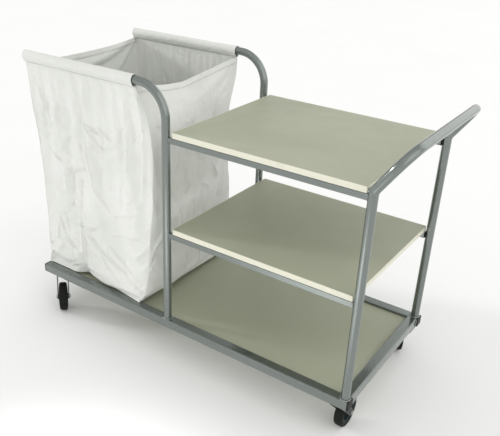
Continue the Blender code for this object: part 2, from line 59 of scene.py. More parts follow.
# ------------------------------------------------------------------ driving dimensions
ORIGIN = Vector((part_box("rail_cap_front_left")[0].x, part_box("base_rail_front")[0].y, 0.0))
BASE_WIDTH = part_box("base_rail_rear")[1].y - ORIGIN.y
RAIL_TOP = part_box("base_rail_front")[1].z
RAIL_SIZE = RAIL_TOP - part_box("base_rail_front")[0].z
ARM_TIP_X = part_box("arm_post_front")[0].x - ORIGIN.x
BAG_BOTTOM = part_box("laundry_bag")[0].z

TUBE_RADIUS = 0.0125
TUBE_WALL = 0.0015
TUBE_SIDES = 48
POST_INSET = RAIL_SIZE / 2
MID_POST_X = 0.561
END_POST_X = 1.183
ARM_HEIGHT = 0.898
ARM_BEND_RADIUS = 0.095
HANDLE_FOOT_HEIGHT = 0.767
HANDLE_REACH = 0.073
HANDLE_RISE = 0.106
HANDLE_BEND_RADIUS = 0.060

SIDES = ("front", "rear")
ENDS = ("left", "right")
SHELVES = ("middle", "top")
CASTERS = ("front_left", "front_right", "rear_left", "rear_right")


def place(x, y, z):
    """A point of the cart as a point of the frame."""
    return Vector((x + ORIGIN.x, y + ORIGIN.y, z))


def side_y(side, inset):
    """The y of a line that lies inset from the front or the rear side."""
    return inset if side == "front" else BASE_WIDTH - inset


# ------------------------------------------------------------------ materials
class Nodes:
    """The node tree of a material or a world, with a short call that adds a node to it."""

    def __init__(self, owner):
        owner.use_nodes = True
        self.owner = owner
        self.tree = owner.node_tree

    def node(self, kind, settings=None, **inputs):
        """Add a node. An input is named, or counted as _0, _1 and so on."""
        made = self.tree.nodes.new("ShaderNode" + kind)
        for name, value in (settings or {}).items():
            setattr(made, name, value)
        for socket, value in inputs.items():
            target = made.inputs[int(socket[1:])] if socket[1:].isdigit() else made.inputs[socket]
            if isinstance(value, bpy.types.NodeSocket):
                self.tree.links.new(value, target)
            else:
                target.default_value = value
        return made

    def vector_math(self, operation, **inputs):
        return self.node("VectorMath", {"operation": operation}, **inputs).outputs


class Finish(Nodes):
    """A Principled material, with short calls for the node patterns that finishes share."""

    def __init__(self, name, **settings):
        super().__init__(bpy.data.materials.new(name))
        self.shader = self.tree.nodes["Principled BSDF"]
        for socket, value in settings.items():
            self.shader.inputs[socket.replace("_", " ")].default_value = value
        self.place = self.node("TexCoord").outputs["Object"]

    def noise(self, scale, detail=2.0, stretch=None):
        """Noise from 0 to 1, with scale in features for each metre."""
        where = self.place
        if stretch:
            where = self.node("Mapping", Vector=self.place, Scale=stretch).outputs[0]
        return self.node("TexNoise", Vector=where, Scale=scale, Detail=detail).outputs[0]

    def between(self, value, low, high, new_low=0.0, new_high=1.0):
        """Map low..high of a value to new_low..new_high, smoothly clamped."""
        return self.node("MapRange", {"interpolation_type": 'SMOOTHSTEP'}, Value=value, _1=low,
                         _2=high, _3=new_low, _4=new_high).outputs[0]

    def math(self, operation, first, second):
        return self.node("Math", {"operation": operation}, _0=first, _1=second).outputs[0]

    def mix(self, factor, first, second):
        """Blend two colours by a factor. A colour is three channels or a node's output."""
        first, second = ((*c, 1.0) if isinstance(c, tuple) else c for c in (first, second))
        return self.node("Mix", {"data_type": 'RGBA'}, _0=factor, _6=first, _7=second).outputs[2]

    def threads(self, period, axis):
        """Parallel threads across an axis, with that spacing in metres."""
        scale = 2 * math.pi / (20 * period)
        settings = {"wave_type": 'BANDS', "bands_direction": axis}
        return self.node("TexWave", settings, Vector=self.place, Scale=scale, Distortion=0.0,
                         Detail=0.0).outputs[1]

    def line(self, where, start, end, half_width):
        """A ridge from 0 to 1 along the straight line between two points."""
        run = Vector(end) - Vector(start)
        away = self.vector_math('SUBTRACT', _0=where, _1=start)[0]
        reach = self.vector_math('DOT_PRODUCT', _0=away, _1=run / run.length_squared)["Value"]
        held = self.node("Clamp", Value=reach).outputs[0]
        nearest = self.vector_math('SCALE', _0=run, Scale=held)[0]
        gap = self.vector_math('DISTANCE', _0=away, _1=nearest)["Value"]
        return self.between(gap, 0.0, half_width, 1.0, 0.0)

    def finished(self, colour, roughness, *bumps):
        """Link colour, roughness and bump layers of (height, depth in metres) to the shader."""
        links = self.tree.links
        links.new(colour, self.shader.inputs["Base Color"])
        links.new(roughness, self.shader.inputs["Roughness"])
        normal = self.shader.inputs["Normal"]
        below = None
        for height, depth in bumps:
            made = self.node("Bump", Height=height, Distance=depth, Strength=1.0)
            if below:
                links.new(below, made.inputs["Normal"])
            below = made.outputs[0]
        if below:
            links.new(below, normal)
        return self.owner


def grey(value):
    return (value, value, value)


def make_paint(name, light, dark, roughness):
    """Silver powder coat: metal flake, orange peel and faint handling marks."""
    paint = Finish(name, Metallic=0.80, Coat_Weight=0.35, Coat_Roughness=0.10)
    flake = paint.noise(2600.0, 1.0)
    cloud = paint.noise(9.0, 4.0)
    marks = paint.between(paint.noise(38.0, 5.0, (1.0, 1.0, 0.25)), 0.62, 0.78)
    base = paint.mix(paint.between(flake, 0.35, 0.65), dark, light)
    worn = tuple(0.80 * channel for channel in dark)
    colour = paint.mix(paint.math('MULTIPLY', marks, 0.25), base, worn)
    spread = paint.between(cloud, 0.3, 0.7, roughness - 0.04, roughness + 0.05)
    rough = paint.math('ADD', spread, paint.math('MULTIPLY', marks, 0.12))
    return paint.finished(colour, rough, (paint.noise(420.0, 2.0), 0.00010), (flake, 0.00002))


def make_laminate():
    """Olive-grey melamine: fine pearl texture, faint clouding and hairline scratches."""
    board = Finish("olive_grey_laminate", Specular_IOR_Level=0.45)
    speckle = board.noise(900.0, 3.0)
    cloud = board.noise(5.0, 4.0)
    scratch = board.between(board.noise(120.0, 3.0, (0.06, 1.0, 1.0)), 0.66, 0.72)
    base = board.mix(board.between(speckle, 0.25, 0.75), (0.362, 0.379, 0.279),
                     (0.402, 0.418, 0.316))
    base = board.mix(board.between(cloud, 0.25, 0.8, 0.0, 0.30), base, (0.338, 0.350, 0.258))
    colour = board.mix(board.math('MULTIPLY', scratch, 0.10), base, grey(0.62))
    worn = board.between(board.noise(16.0, 3.0), 0.3, 0.7, 0.36, 0.50)
    rough = board.math('SUBTRACT', worn, board.math('MULTIPLY', scratch, 0.08))
    return board.finished(colour, rough, (board.noise(1400.0, 2.0), 0.00006),
                          (board.noise(60.0, 2.0), 0.00015))


def make_edging():
    """Cream plastic edge band with fine milling lines and grubby patches."""
    band = Finish("cream_edging", Specular_IOR_Level=0.5)
    lines = band.noise(900.0, 2.0, (1.0, 1.0, 0.05))
    grime = band.between(band.noise(22.0, 5.0), 0.58, 0.78)
    base = band.mix(lines, (0.665, 0.650, 0.540), (0.725, 0.71, 0.60))
    colour = band.mix(band.math('MULTIPLY', grime, 0.35), base, (0.55, 0.53, 0.42))
    return band.finished(colour, band.between(lines, 0.2, 0.8, 0.38, 0.52), (lines, 0.00008))


def make_moulded(name, colour, dusty, roughness, grain, specular=0.30):
    """Moulded plastic or rubber: fine grain, with dust where it has been handled."""
    made = Finish(name, Specular_IOR_Level=specular)
    dust = made.between(made.noise(55.0, 5.0), 0.45, 0.75)
    shade = made.between(made.noise(400.0, 2.0), 0.3, 0.7)
    base = made.mix(shade, tuple(0.75 * channel for channel in colour), colour)
    dusted = made.mix(made.math('MULTIPLY', dust, 0.35), base, dusty)
    rough = made.between(dust, 0.0, 1.0, roughness, roughness + 0.15)
    return made.finished(dusted, rough, (made.noise(grain, 2.0), 0.00008),
                         (made.noise(90.0, 2.0), 0.00012))


def make_zinc(name, light, dark, worn, roughness):
    """Zinc plate: cloudy passivation, drawn grain and dull patches."""
    zinc = Finish(name, Metallic=0.95)
    cloud = zinc.noise(70.0, 5.0)
    drawn = zinc.noise(900.0, 2.0, (1.0, 0.06, 1.0))
    dull = zinc.between(zinc.noise(160.0, 4.0), 0.55, 0.75)
    base = zinc.mix(cloud, dark, light)
    colour = zinc.mix(zinc.math('MULTIPLY', dull, 0.5), base, worn)
    rough = zinc.math('ADD', zinc.between(cloud, 0.2, 0.8, roughness, roughness + 0.16),
                      zinc.math('MULTIPLY', dull, 0.2))
    return zinc.finished(colour, rough, (drawn, 0.00003), (zinc.noise(250.0, 2.0), 0.00008))


def make_cloth(name, pressed=()):
    """Plain white polyester-cotton: crossed threads, slubs and soft shading.

    pressed holds sets of crisp crease lines, as (axes kept, low corner, high corner, lines);
    a set shows only inside its box, and each line is (start, end).
    """
    thread_spacing, thread_depth = 0.0011, 0.00010
    line_half_width, line_depth = 0.0042, 0.0013
    cloth = Finish(name, Sheen_Weight=0.15, Sheen_Roughness=0.6, Specular_IOR_Level=0.25)
    weave = cloth.math('MAXIMUM', *(cloth.threads(thread_spacing, axis) for axis in "XZ"))
    weave = cloth.math('ADD', weave, cloth.threads(thread_spacing, 'Y'))
    slub = cloth.noise(700.0, 3.0, (1.0, 1.0, 0.08))
    cloud = cloth.noise(7.0, 4.0)
    base = cloth.mix(cloth.between(cloud, 0.3, 0.7), (0.665, 0.675, 0.645),
                     (0.712, 0.720, 0.692))
    colour = cloth.mix(cloth.between(slub, 0.5, 0.8, 0.0, 0.25), base, (0.60, 0.61, 0.58))
    rough = cloth.between(slub, 0.2, 0.8, 0.78, 0.92)
    stray = cloth.node("TexNoise", Vector=cloth.place, Scale=12.0).outputs[1]
    strayed = cloth.vector_math('MULTIPLY_ADD', _0=stray, _1=grey(0.06), _2=cloth.place)[0]
    crinkle = cloth.node("TexVoronoi", {"feature": 'DISTANCE_TO_EDGE'}, Vector=strayed,
                         Scale=17.0).outputs[0]
    crinkle = cloth.math('MULTIPLY', cloth.between(crinkle, 0.0, 0.10),
                         cloth.between(cloth.noise(11.0, 2.0), 0.45, 0.65))
    layers = [(cloth.noise(40.0, 4.0), 0.0012), (crinkle, 0.0009)]
    for kept, low, high, lines in pressed:
        where = cloth.vector_math('MULTIPLY', _0=cloth.place, _1=kept)[0]
        height = 0.0
        for start, end in lines:
            ridge = cloth.line(where, start * kept, end * kept, line_half_width)
            height = cloth.math('ADD', height, ridge)
        place_xyz = cloth.node("SeparateXYZ", Vector=cloth.place).outputs
        for axis in range(3):
            for test, limit in (('GREATER_THAN', low), ('LESS_THAN', high)):
                inside = cloth.math(test, place_xyz[axis], limit[axis])
                height = cloth.math('MULTIPLY', height, inside)
        layers.append((height, line_depth))
    return cloth.finished(colour, rough, *layers, (weave, thread_depth), (slub, 0.00010))


def make_thread():
    """Twisted sewing thread."""
    thread = Finish("sewing_thread", Specular_IOR_Level=0.4)
    twist = thread.noise(2500.0, 1.0)
    colour = thread.mix(twist, (0.72, 0.72, 0.69), (0.88, 0.88, 0.85))
    return thread.finished(colour, thread.between(twist, 0.2, 0.8, 0.5, 0.7), (twist, 0.00008))


PAINT = make_paint("silver_paint", (0.250, 0.278, 0.265), (0.160, 0.180, 0.172), 0.19)
# The weld beads wear the same silver paint as the tubes; the lighter colour of this copy is painted highlight, for
# the glints the beads catch.
WELD = make_paint("weld_paint_painted_highlight", (0.300, 0.325, 0.312), (0.215, 0.235, 0.226), 0.22)
LAMINATE = make_laminate()
EDGING = make_edging()
CAP_PLASTIC = make_moulded("black_plastic", (0.009, 0.009, 0.010), (0.028, 0.028, 0.026),
                           0.50, 1500.0)
RUBBER = make_moulded("black_rubber", (0.008, 0.010, 0.008), (0.026, 0.024, 0.018),
                      0.60, 800.0, specular=0.14)
NYLON = make_moulded("dark_nylon", (0.010, 0.022, 0.027), (0.032, 0.042, 0.043),
                     0.42, 1100.0, specular=0.22)
ZINC = make_zinc("zinc_plate", (0.48, 0.48, 0.46), (0.27, 0.28, 0.28), (0.17, 0.18, 0.18), 0.24)
# The forks are zinc plate like the other caster parts; this darker copy of the zinc is painted shade, for the
# shade they sit in under the rails.
SHADED_FORK_ZINC = make_zinc("fork_zinc_painted_shade", (0.100, 0.112, 0.108), (0.052, 0.060, 0.058),
                       (0.034, 0.038, 0.036), 0.32)
CLOTH = make_cloth("white_cloth")
THREAD = make_thread()
SLOT_FINISHES = {"silver_paint": PAINT, "board_laminate": LAMINATE, "board_edging": EDGING,
                 "cap_plastic": CAP_PLASTIC, "zinc_steel": ZINC, "tyre_rubber": RUBBER,
                 "hub_nylon": NYLON, "bag_cloth": CLOTH}


# ------------------------------------------------------------------ mesh builders
def add_object(name, data):
    """A new object with some data, linked into the scene."""
    made = bpy.data.objects.new(name, data)
    bpy.context.scene.collection.objects.link(made)
    return made


def mesh_of(name, shape):
    """A mesh with a bmesh's faces; the bmesh is freed."""
    mesh = bpy.data.meshes.new(name)
    shape.to_mesh(mesh)
    shape.free()
    return mesh


def add_piece(name, shape, body, finish, stands_for=(), matrix=None, sharp=40.0):
    """Turn a bmesh into a shown piece that rides on a body."""
    bmesh.ops.recalc_face_normals(shape, faces=shape.faces)
    mesh = mesh_of(name, shape)
    mesh.shade_smooth()
    mesh.set_sharp_from_angle(angle=math.radians(sharp))
    mesh.materials.append(finish)
    piece = add_object(name, mesh)
    if matrix is not None:
        piece.matrix_world = matrix
    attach(piece, body)
    if stands_for:
        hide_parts(*stands_for)
    return piece


def soften(piece, width):
    """Round a piece's sharp edges a little, so that they catch the light."""
    bevel = piece.modifiers.new("soft_edges", 'BEVEL')
    bevel.width = width
    bevel.segments = 2
    bevel.limit_method = 'ANGLE'
    bevel.angle_limit = math.radians(40.0)


def circle(radius, sides):
    """Points of a circle, counter-clockwise."""
    turn = 2 * math.pi / sides
    return [(radius * math.cos(turn * i), radius * math.sin(turn * i)) for i in range(sides)]


def rounded_rectangle(width, depth, radius, corner_steps):
    """Points of a rectangle with round corners, counter-clockwise, centred on zero."""
    points = []
    for corner in range(4):
        sign_x = 1 if corner in (0, 3) else -1
        sign_y = 1 if corner in (0, 1) else -1
        for step in range(corner_steps + 1):
            angle = math.pi / 2 * (corner + step / corner_steps)
            points.append((sign_x * (width / 2 - radius) + radius * math.cos(angle),
                           sign_y * (depth / 2 - radius) + radius * math.sin(angle)))
    return points


def bridge(shape, low, high):
    """Make the quads between two rings with the same count of vertices."""
    for i in range(len(low)):
        after = (i + 1) % len(low)
        shape.faces.new((low[i], low[after], high[after], high[i]))


def add_loft(shape, sections, capped=True):
    """Add a solid through rings of points, or a torus-like band if it isn't capped."""
    rings = [[shape.verts.new(point) for point in ring] for ring in sections]
    for low, high in zip(rings, rings[1:]):
        bridge(shape, low, high)
    if capped:
        shape.faces.new(list(reversed(rings[0])))
        shape.faces.new(rings[-1])
    else:
        bridge(shape, rings[-1], rings[0])


def add_stack(shape, levels, sides, capped=True):
    """Add a solid of round sections about Z, from its (z, radius) levels."""
    add_loft(shape, [[Vector((a, b, z)) for a, b in circle(radius, sides)]
                     for z, radius in levels], capped)


def turned(profile, sides):
    """A closed (y, radius) profile turned about Y; a profile may also be a function."""
    shape = bmesh.new()
    loops = []
    for i in range(sides):
        angle = 2 * math.pi * i / sides
        points = profile(angle) if callable(profile) else profile
        loops.append([shape.verts.new((radius * math.cos(angle), y, radius * math.sin(angle)))
                      for y, radius in points])
    for i in range(sides):
        bridge(shape, loops[i], loops[(i + 1) % sides])
    return shape


def bent_path(corners, radius, steps):
    """A polyline through corners, with each inner corner turned as an arc."""
    points = [Vector(corners[0])]
    for before, corner, after in zip(corners, corners[1:], corners[2:]):
        corner = Vector(corner)
        inward = (Vector(before) - corner).normalized()
        outward = (Vector(after) - corner).normalized()
        half_angle = inward.angle(outward) / 2
        centre = corner + (inward + outward).normalized() * radius / math.sin(half_angle)
        start = corner + inward * radius / math.tan(half_angle) - centre
        end = corner + outward * radius / math.tan(half_angle) - centre
        normal = start.cross(end).normalized()
        for step in range(steps + 1):
            turn = Matrix.Rotation(start.angle(end) * step / steps, 3, normal)
            points.append(centre + turn @ start)
    points.append(Vector(corners[-1]))
    return points


def swept_rings(path, plane_normal, radius, end_normals=(None, None)):
    """Rings of a round tube along a planar path; the ends may be cut on a mitre."""
    normal = Vector(plane_normal).normalized()
    rings = []
    last = len(path) - 1
    for i, point in enumerate(path):
        before = (point - path[max(i - 1, 0)]).normalized()
        after = (path[min(i + 1, last)] - point).normalized()
        tangent = (before + after).normalized()
        side = tangent.cross(normal)
        cut = end_normals[0] if i == 0 else end_normals[1] if i == last else None
        ring = []
        for a, b in circle(radius, TUBE_SIDES):
            vertex = point + normal * a + side * b
            if cut is not None:
                vertex += tangent * ((point - vertex).dot(cut) / tangent.dot(cut))
            ring.append(vertex)
        rings.append(ring)
    return rings


def add_round_tube(name, path, plane_normal, end_normals=(None, None)):
    """A smooth frame tube with a real wall, in place of the CAD tube of that name."""
    outer = swept_rings(path, plane_normal, TUBE_RADIUS, end_normals)
    inner = swept_rings(path, plane_normal, TUBE_RADIUS - TUBE_WALL, end_normals)
    shape = bmesh.new()
    add_loft(shape, outer + inner[::-1], capped=False)
    return add_piece(name + "_tube", shape, "frame", PAINT, (name,))


def add_bead(shape, path, radius, seed, closed=False):
    """Add a weld bead along a path: a round seam that swells with each ripple."""
    rng = random.Random(seed)
    ripple, ripple_height, roughness = 0.0030, 0.07, 0.02
    sides = 10
    travelled = 0.0
    rings = []
    count = len(path)
    for i, point in enumerate(path):
        before = path[(i - 1) % count] if closed else path[max(i - 1, 0)]
        after = path[(i + 1) % count] if closed else path[min(i + 1, count - 1)]
        tangent = (after - before).normalized()
        side = tangent.cross(Vector((0.31, 0.17, 0.94))).normalized()
        up = side.cross(tangent)
        if i:
            travelled += (point - path[i - 1]).length
        swell = 1.0 + ripple_height * math.sin(2 * math.pi * travelled / ripple)
        swell += rng.uniform(-roughness, roughness)
        if not closed:
            nearest_end = min(i, count - 1 - i)
            swell *= min(1.0, 0.55 + 0.25 * nearest_end)
        rings.append([point + (side * a + up * b) * swell for a, b in circle(radius, sides)])
    add_loft(shape, rings, capped=not closed)


def add_straight_bead(shape, start, end, radius, seed):
    """Add a weld bead between two points."""
    start, end = Vector(start), Vector(end)
    spacing = 0.0006
    steps = max(4, round((end - start).length / spacing))
    add_bead(shape, [start.lerp(end, i / steps) for i in range(steps + 1)], radius, seed)


# ------------------------------------------------------------------ frame
def dress_cad_nodes():
    """Give every CAD node the finish of its material slot, with softened board edges."""
    slots = {part["node"]: part["material_slot"] for part in frame["record"]["subparts"]}
    for name, node in frame["nodes"].items():
        node.data.materials.clear()
        node.data.materials.append(SLOT_FINISHES[slots[name]])
    flat_plates = [name for name in frame["nodes"]
                   if name.startswith(("corner_gusset", "base_support")) or name.endswith("board")]
    for name in flat_plates:
        node = frame["nodes"][name]
        weld = node.modifiers.new("join", 'WELD')
        weld.merge_threshold = 0.00002
        soften(node, 0.0005)


def add_frame_tubes():
    """The arm posts, the end posts and the handle hoop; returns the arm posts."""
    pieces = []
    for side in SIDES:
        line_y = side_y(side, POST_INSET)
        corners = [place(MID_POST_X, line_y, RAIL_TOP), place(MID_POST_X, line_y, ARM_HEIGHT),
                   place(ARM_TIP_X, line_y, ARM_HEIGHT)]
        path = bent_path(corners, ARM_BEND_RADIUS, 28)
        pieces.append(add_round_tube("arm_post_" + side, path, (0, 1, 0)))

    slant = Vector((HANDLE_REACH, 0.0, HANDLE_RISE)).normalized()
    mitre = (slant + Vector((0.0, 0.0, 1.0))).normalized()
    seams = bmesh.new()
    corners = []
    for side in SIDES:
        line_y = side_y(side, POST_INSET)
        head = place(END_POST_X, line_y, HANDLE_FOOT_HEIGHT)
        foot = place(END_POST_X, line_y, RAIL_TOP)
        add_round_tube("end_post_" + side, [foot, head], (0, 1, 0), (None, mitre))
        upper = head + Vector((HANDLE_REACH, 0.0, HANDLE_RISE))
        corners += [head, upper] if side == "front" else [upper, head]
        seam = swept_rings([foot, head], (0, 1, 0), TUBE_RADIUS + 0.0002, (None, mitre))[1]
        add_bead(seams, seam, 0.0011, seed=side, closed=True)
    path = bent_path(corners, HANDLE_BEND_RADIUS, 20)
    normal = slant.cross(Vector((0.0, 1.0, 0.0)))
    add_round_tube("push_handle", path, normal, (mitre, mitre))
    add_piece("handle_welds", seams, "frame", WELD)
    return pieces


def add_foot_welds():
    """A fillet of weld round the foot of each upright, on the base rails."""
    shape = bmesh.new()
    for x in (MID_POST_X, END_POST_X):
        for side in SIDES:
            centre = place(x, side_y(side, POST_INSET), RAIL_TOP + 0.0010)
            ring = [centre + Vector((a, b, 0.0)) for a, b in circle(TUBE_RADIUS + 0.0011, 110)]
            add_bead(shape, ring, 0.0021, seed="%s%s" % (x, side), closed=True)
    add_piece("foot_welds", shape, "frame", WELD)


def add_shelf_welds():
    """Beads where the ends of each shelf rail meet the uprights and the cross rails."""
    for shelf in SHELVES:
        shape = bmesh.new()
        for side in SIDES:
            low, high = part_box("%s_shelf_rail_%s" % (shelf, side))
            front = side == "front"
            outer_y, inner_y = (low.y, high.y) if front else (high.y, low.y)
            inward = 1 if front else -1
            for x, out in ((low.x, 1), (high.x, -1)):
                bead_x = x + 0.0006 * out
                face_y = outer_y + 0.0004 * inward
                add_straight_bead(shape, (bead_x, face_y, low.z + 0.001),
                                  (bead_x, face_y, high.z - 0.001), 0.0023,
                                  "%s%s%s" % (shelf, side, out))
                under_z = low.z - 0.0003
                add_straight_bead(shape, (bead_x, outer_y + 0.002 * inward, under_z),
                                  (bead_x, outer_y + 0.013 * inward, under_z), 0.0018,
                                  "%s%s" % (side, out))
            for end in ENDS:
                cross_low, cross_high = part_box("%s_shelf_cross_%s" % (shelf, end))
                for x in (cross_low.x - 0.0004, cross_high.x + 0.0004):
                    add_straight_bead(shape, (x, inner_y, low.z + 0.002),
                                      (x, inner_y, high.z - 0.002), 0.0016, "%s%s" % (x, side))
        add_piece(shelf + "_shelf_welds", shape, "frame", WELD)


def add_base_welds():
    """Beads up the corners where the end rails butt against the long rails."""
    shape = bmesh.new()
    for end in ENDS:
        low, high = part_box("base_rail_" + end)
        for y, inward in ((low.y, 1), (high.y, -1)):
            bead_y, under_z = y + 0.0006 * inward, low.z - 0.0002
            for x in (low.x - 0.0003, high.x + 0.0003):
                add_straight_bead(shape, (x, bead_y, low.z + 0.003), (x, bead_y, high.z - 0.003),
                                  0.0017, "%.3f%s" % (x, inward))
            add_straight_bead(shape, (low.x + 0.003, y, under_z), (high.x - 0.003, y, under_z),
                              0.0016, "under%s%s" % (end, inward))
    add_piece("base_welds", shape, "frame", WELD)


# ------------------------------------------------------------------ fasteners
def hexagon(flat, limit, sides=36):
    """A hexagon of that half width across flats, with its corners turned to a limit."""
    points = []
    for i in range(sides):
        angle = 2 * math.pi * i / sides
        reach = flat / math.cos((angle + math.pi / 6) % (math.pi / 3) - math.pi / 6)
        reach = min(reach, limit)
        points.append((reach * math.cos(angle), reach * math.sin(angle)))
    return points


BOARD_SCREW = (0.0035, 0.0042, 0.0060)
PLATE_BOLT = (0.0045, 0.0048, 0.0066)
AXLE_HEAD = (0.0058, 0.0042, 0.0074)
AXLE_NUT = (0.0058, 0.0046, 0.0074)


def add_hex_head(shape, base, direction, size):
    """Add a chamfered hexagon head on a washer, standing on base along a direction.

    size is half the width across flats, the height and the washer's radius.
    """
    flat, height, washer = size
    up = Vector(direction).normalized()
    side = up.orthogonal().normalized()
    across = up.cross(side)
    sides = 36

    def ring(outline, level):
        return [base + side * a + across * b + up * level for a, b in outline]

    washer_height, washer_edge = 0.0010, 0.0003
    corner = 2 * flat / math.sqrt(3)
    disc = circle(washer, sides)
    rim = circle(washer - washer_edge, sides)
    add_loft(shape, [ring(disc, 0.0), ring(disc, washer_height - washer_edge),
                     ring(rim, washer_height)])
    add_loft(shape, [ring(hexagon(flat, corner - 0.0004), washer_height),
                     ring(hexagon(flat, corner), washer_height + 0.0005),
                     ring(hexagon(flat, corner), height - 0.0007),
                     ring(hexagon(flat, flat * 0.97), height),
                     ring(circle(flat * 0.45, sides), height + 0.0001),
                     ring(circle(flat * 0.40, sides), height - 0.0004)])


def add_board_screws():
    """Hexagon washer-head screws that hold the boards down, seen from below."""
    groups = [(shelf + "_shelf_screws", ["%s_shelf_cross_%s" % (shelf, end) for end in ENDS],
               (0.18, 0.82)) for shelf in SHELVES]
    supports = ["base_support_" + where for where in ("left", "middle", "right")]
    for name, bars, shares in groups + [("deck_screws", supports, (0.15, 0.85))]:
        shape = bmesh.new()
        for bar in bars:
            low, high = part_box(bar)
            for share in shares:
                point = Vector(((low.x + high.x) / 2, low.y + (high.y - low.y) * share, low.z))
                add_hex_head(shape, point, (0, 0, -1), BOARD_SCREW)
        add_piece(name, shape, "frame", ZINC)


# ------------------------------------------------------------------ casters
WHEEL_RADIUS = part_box("tyre_front_left")[1].z / 2
FORK_HALF_GAP = 0.0175
FORK_PLATE = 0.0025
CROWN_TOP = 0.1195
PLATE_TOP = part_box("caster_plate_front_left")[1].z
PLATE_THICKNESS = 0.003


def caster_places(corner):
    """The swivel point, the wheel centre and the trail length of a caster."""
    joints = {joint["name"]: joint for joint in frame["joints"]}
    swivel = Vector(joints["swivel_" + corner]["pos_m"])
    wheel = Vector(joints["roll_" + corner]["pos_m"])
    swivel.z = 0.0
    flat = Vector((wheel.x - swivel.x, wheel.y - swivel.y, 0.0))
    return swivel, wheel, flat


def caster_matrix(corner, centred_on_wheel):
    """Local axes of a caster: X the way it trails, Y along its axle, Z up."""
    swivel, wheel, flat = caster_places(corner)
    forward = flat.normalized()
    across = Vector((0, 0, 1)).cross(forward)
    turn = Matrix((forward, across, Vector((0, 0, 1)))).transposed().to_4x4()
    return Matrix.Translation(wheel if centred_on_wheel else swivel) @ turn


def arch_outline(half_width, top, corner, foot, steps=6):
    """An upside-down U as (y, z) points, from one foot over the top to the other."""
    points = [(half_width, foot)]
    for step in range(steps + 1):
        angle = math.pi / 2 * step / steps
        points.append((half_width - corner + corner * math.cos(angle),
                       top - corner + corner * math.sin(angle)))
    return points + [(-y, z) for y, z in reversed(points)]


def fork_side_outline(trail):
    """Side view of the fork as (x, z): round crown above, tapering to the axle eye."""
    eye = 0.0110
    crown_x = 0.0205
    points = [(-crown_x, CROWN_TOP), (-crown_x, CROWN_TOP - 0.008), (-0.0175, 0.1060)]
    steps = 18
    start = math.radians(205.0)
    sweep = math.radians(167.0)
    for step in range(steps + 1):
        angle = start + sweep * step / steps
        points.append((trail + eye * math.cos(angle), WHEEL_RADIUS + eye * math.sin(angle)))
    return points + [(0.0260, 0.0960), (0.0215, 0.1070), (crown_x, CROWN_TOP - 0.008),
                     (crown_x, CROWN_TOP)]


def solid_object(shape):
    """A temporary closed object for a Boolean."""
    bmesh.ops.recalc_face_normals(shape, faces=shape.faces)
    return add_object("operand", mesh_of("operand", shape))


def boolean(first, second, operation):
    """Combine two bmesh solids and return the result as a bmesh."""
    target, tool = solid_object(first), solid_object(second)
    modifier = target.modifiers.new("combine", 'BOOLEAN')
    modifier.operation = operation
    modifier.solver = 'EXACT'
    modifier.object = tool
    bpy.context.view_layer.update()
    graph = bpy.context.evaluated_depsgraph_get()
    result = bmesh.new()
    result.from_mesh(target.evaluated_get(graph).to_mesh())
    for used in (target, tool):
        bpy.data.objects.remove(used)
    return result


def pressed_fork(trail):
    """A bent plate, its arch section cut to the fork's side outline, and its ball cup."""
    foot, outer_corner, inner_corner = 0.030, 0.0060, 0.0035
    outer = arch_outline(FORK_HALF_GAP + FORK_PLATE, CROWN_TOP, outer_corner, foot)
    inner = arch_outline(FORK_HALF_GAP, CROWN_TOP - FORK_PLATE, inner_corner, foot)
    section = outer + inner[::-1]
    arch = bmesh.new()
    add_loft(arch, [[Vector((x, y, z)) for y, z in section] for x in (-0.04, 0.08)])
    side = bmesh.new()
    add_loft(side, [[Vector((x, y, z)) for x, z in fork_side_outline(trail)]
                    for y in (-0.03, 0.03)])
    fork = boolean(arch, side, 'INTERSECT')
    cup_levels = ((0.1100, 0.0206), (0.1106, 0.0216), (0.1130, 0.0221), (0.1180, 0.0221),
                  (0.1192, 0.0212), (0.1193, 0.0090), (0.1100, 0.0090))
    cup = bmesh.new()
    add_stack(cup, cup_levels, 48, capped=False)
    return fork, cup


def add_caster_top(corner):
    """Fixed plate with its upper race and riveted kingpin, bolted under the rails."""
    swivel = caster_places(corner)[0]
    low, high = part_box("caster_plate_" + corner)
    width, depth = high.x - low.x, high.y - low.y
    bottom = PLATE_TOP - PLATE_THICKNESS
    rim, corner_radius = 0.0004, 0.007
    levels = ((bottom, rim), (bottom + rim, 0.0), (PLATE_TOP - rim, 0.0), (PLATE_TOP, rim))
    shape = bmesh.new()
    outlines = [(z, rounded_rectangle(width - 2 * cut, depth - 2 * cut, corner_radius - cut, 8))
                  for z, cut in levels]
    add_loft(shape, [[Vector((a, b, z)) for a, b in outline] for z, outline in outlines])
    race = ((CROWN_TOP + 0.0004, 0.0215), (CROWN_TOP + 0.0008, 0.0228),
            (CROWN_TOP + 0.0030, 0.0240), (bottom, 0.0236), (bottom + 0.0005, 0.0232))
    add_stack(shape, race, 56)
    pin = ((0.1050, 0.0040), (0.1053, 0.0062), (0.1066, 0.0075), (0.1078, 0.0075),
           (0.1080, 0.0045), (CROWN_TOP + 0.001, 0.0045))
    add_stack(shape, pin, 32)
    matrix = Matrix.Translation(Vector((swivel.x, swivel.y, 0.0)))
    add_piece("swivel_head_" + corner, shape, "frame", ZINC,
              ("caster_plate_" + corner,), matrix)

    bolts = bmesh.new()
    for x in (-0.0305, 0.0305):
        for y in (-0.0255, 0.0255):
            add_hex_head(bolts, Vector((x, y, bottom)), (0, 0, -1), PLATE_BOLT)
    add_piece("plate_bolts_" + corner, bolts, "frame", ZINC, matrix=matrix)


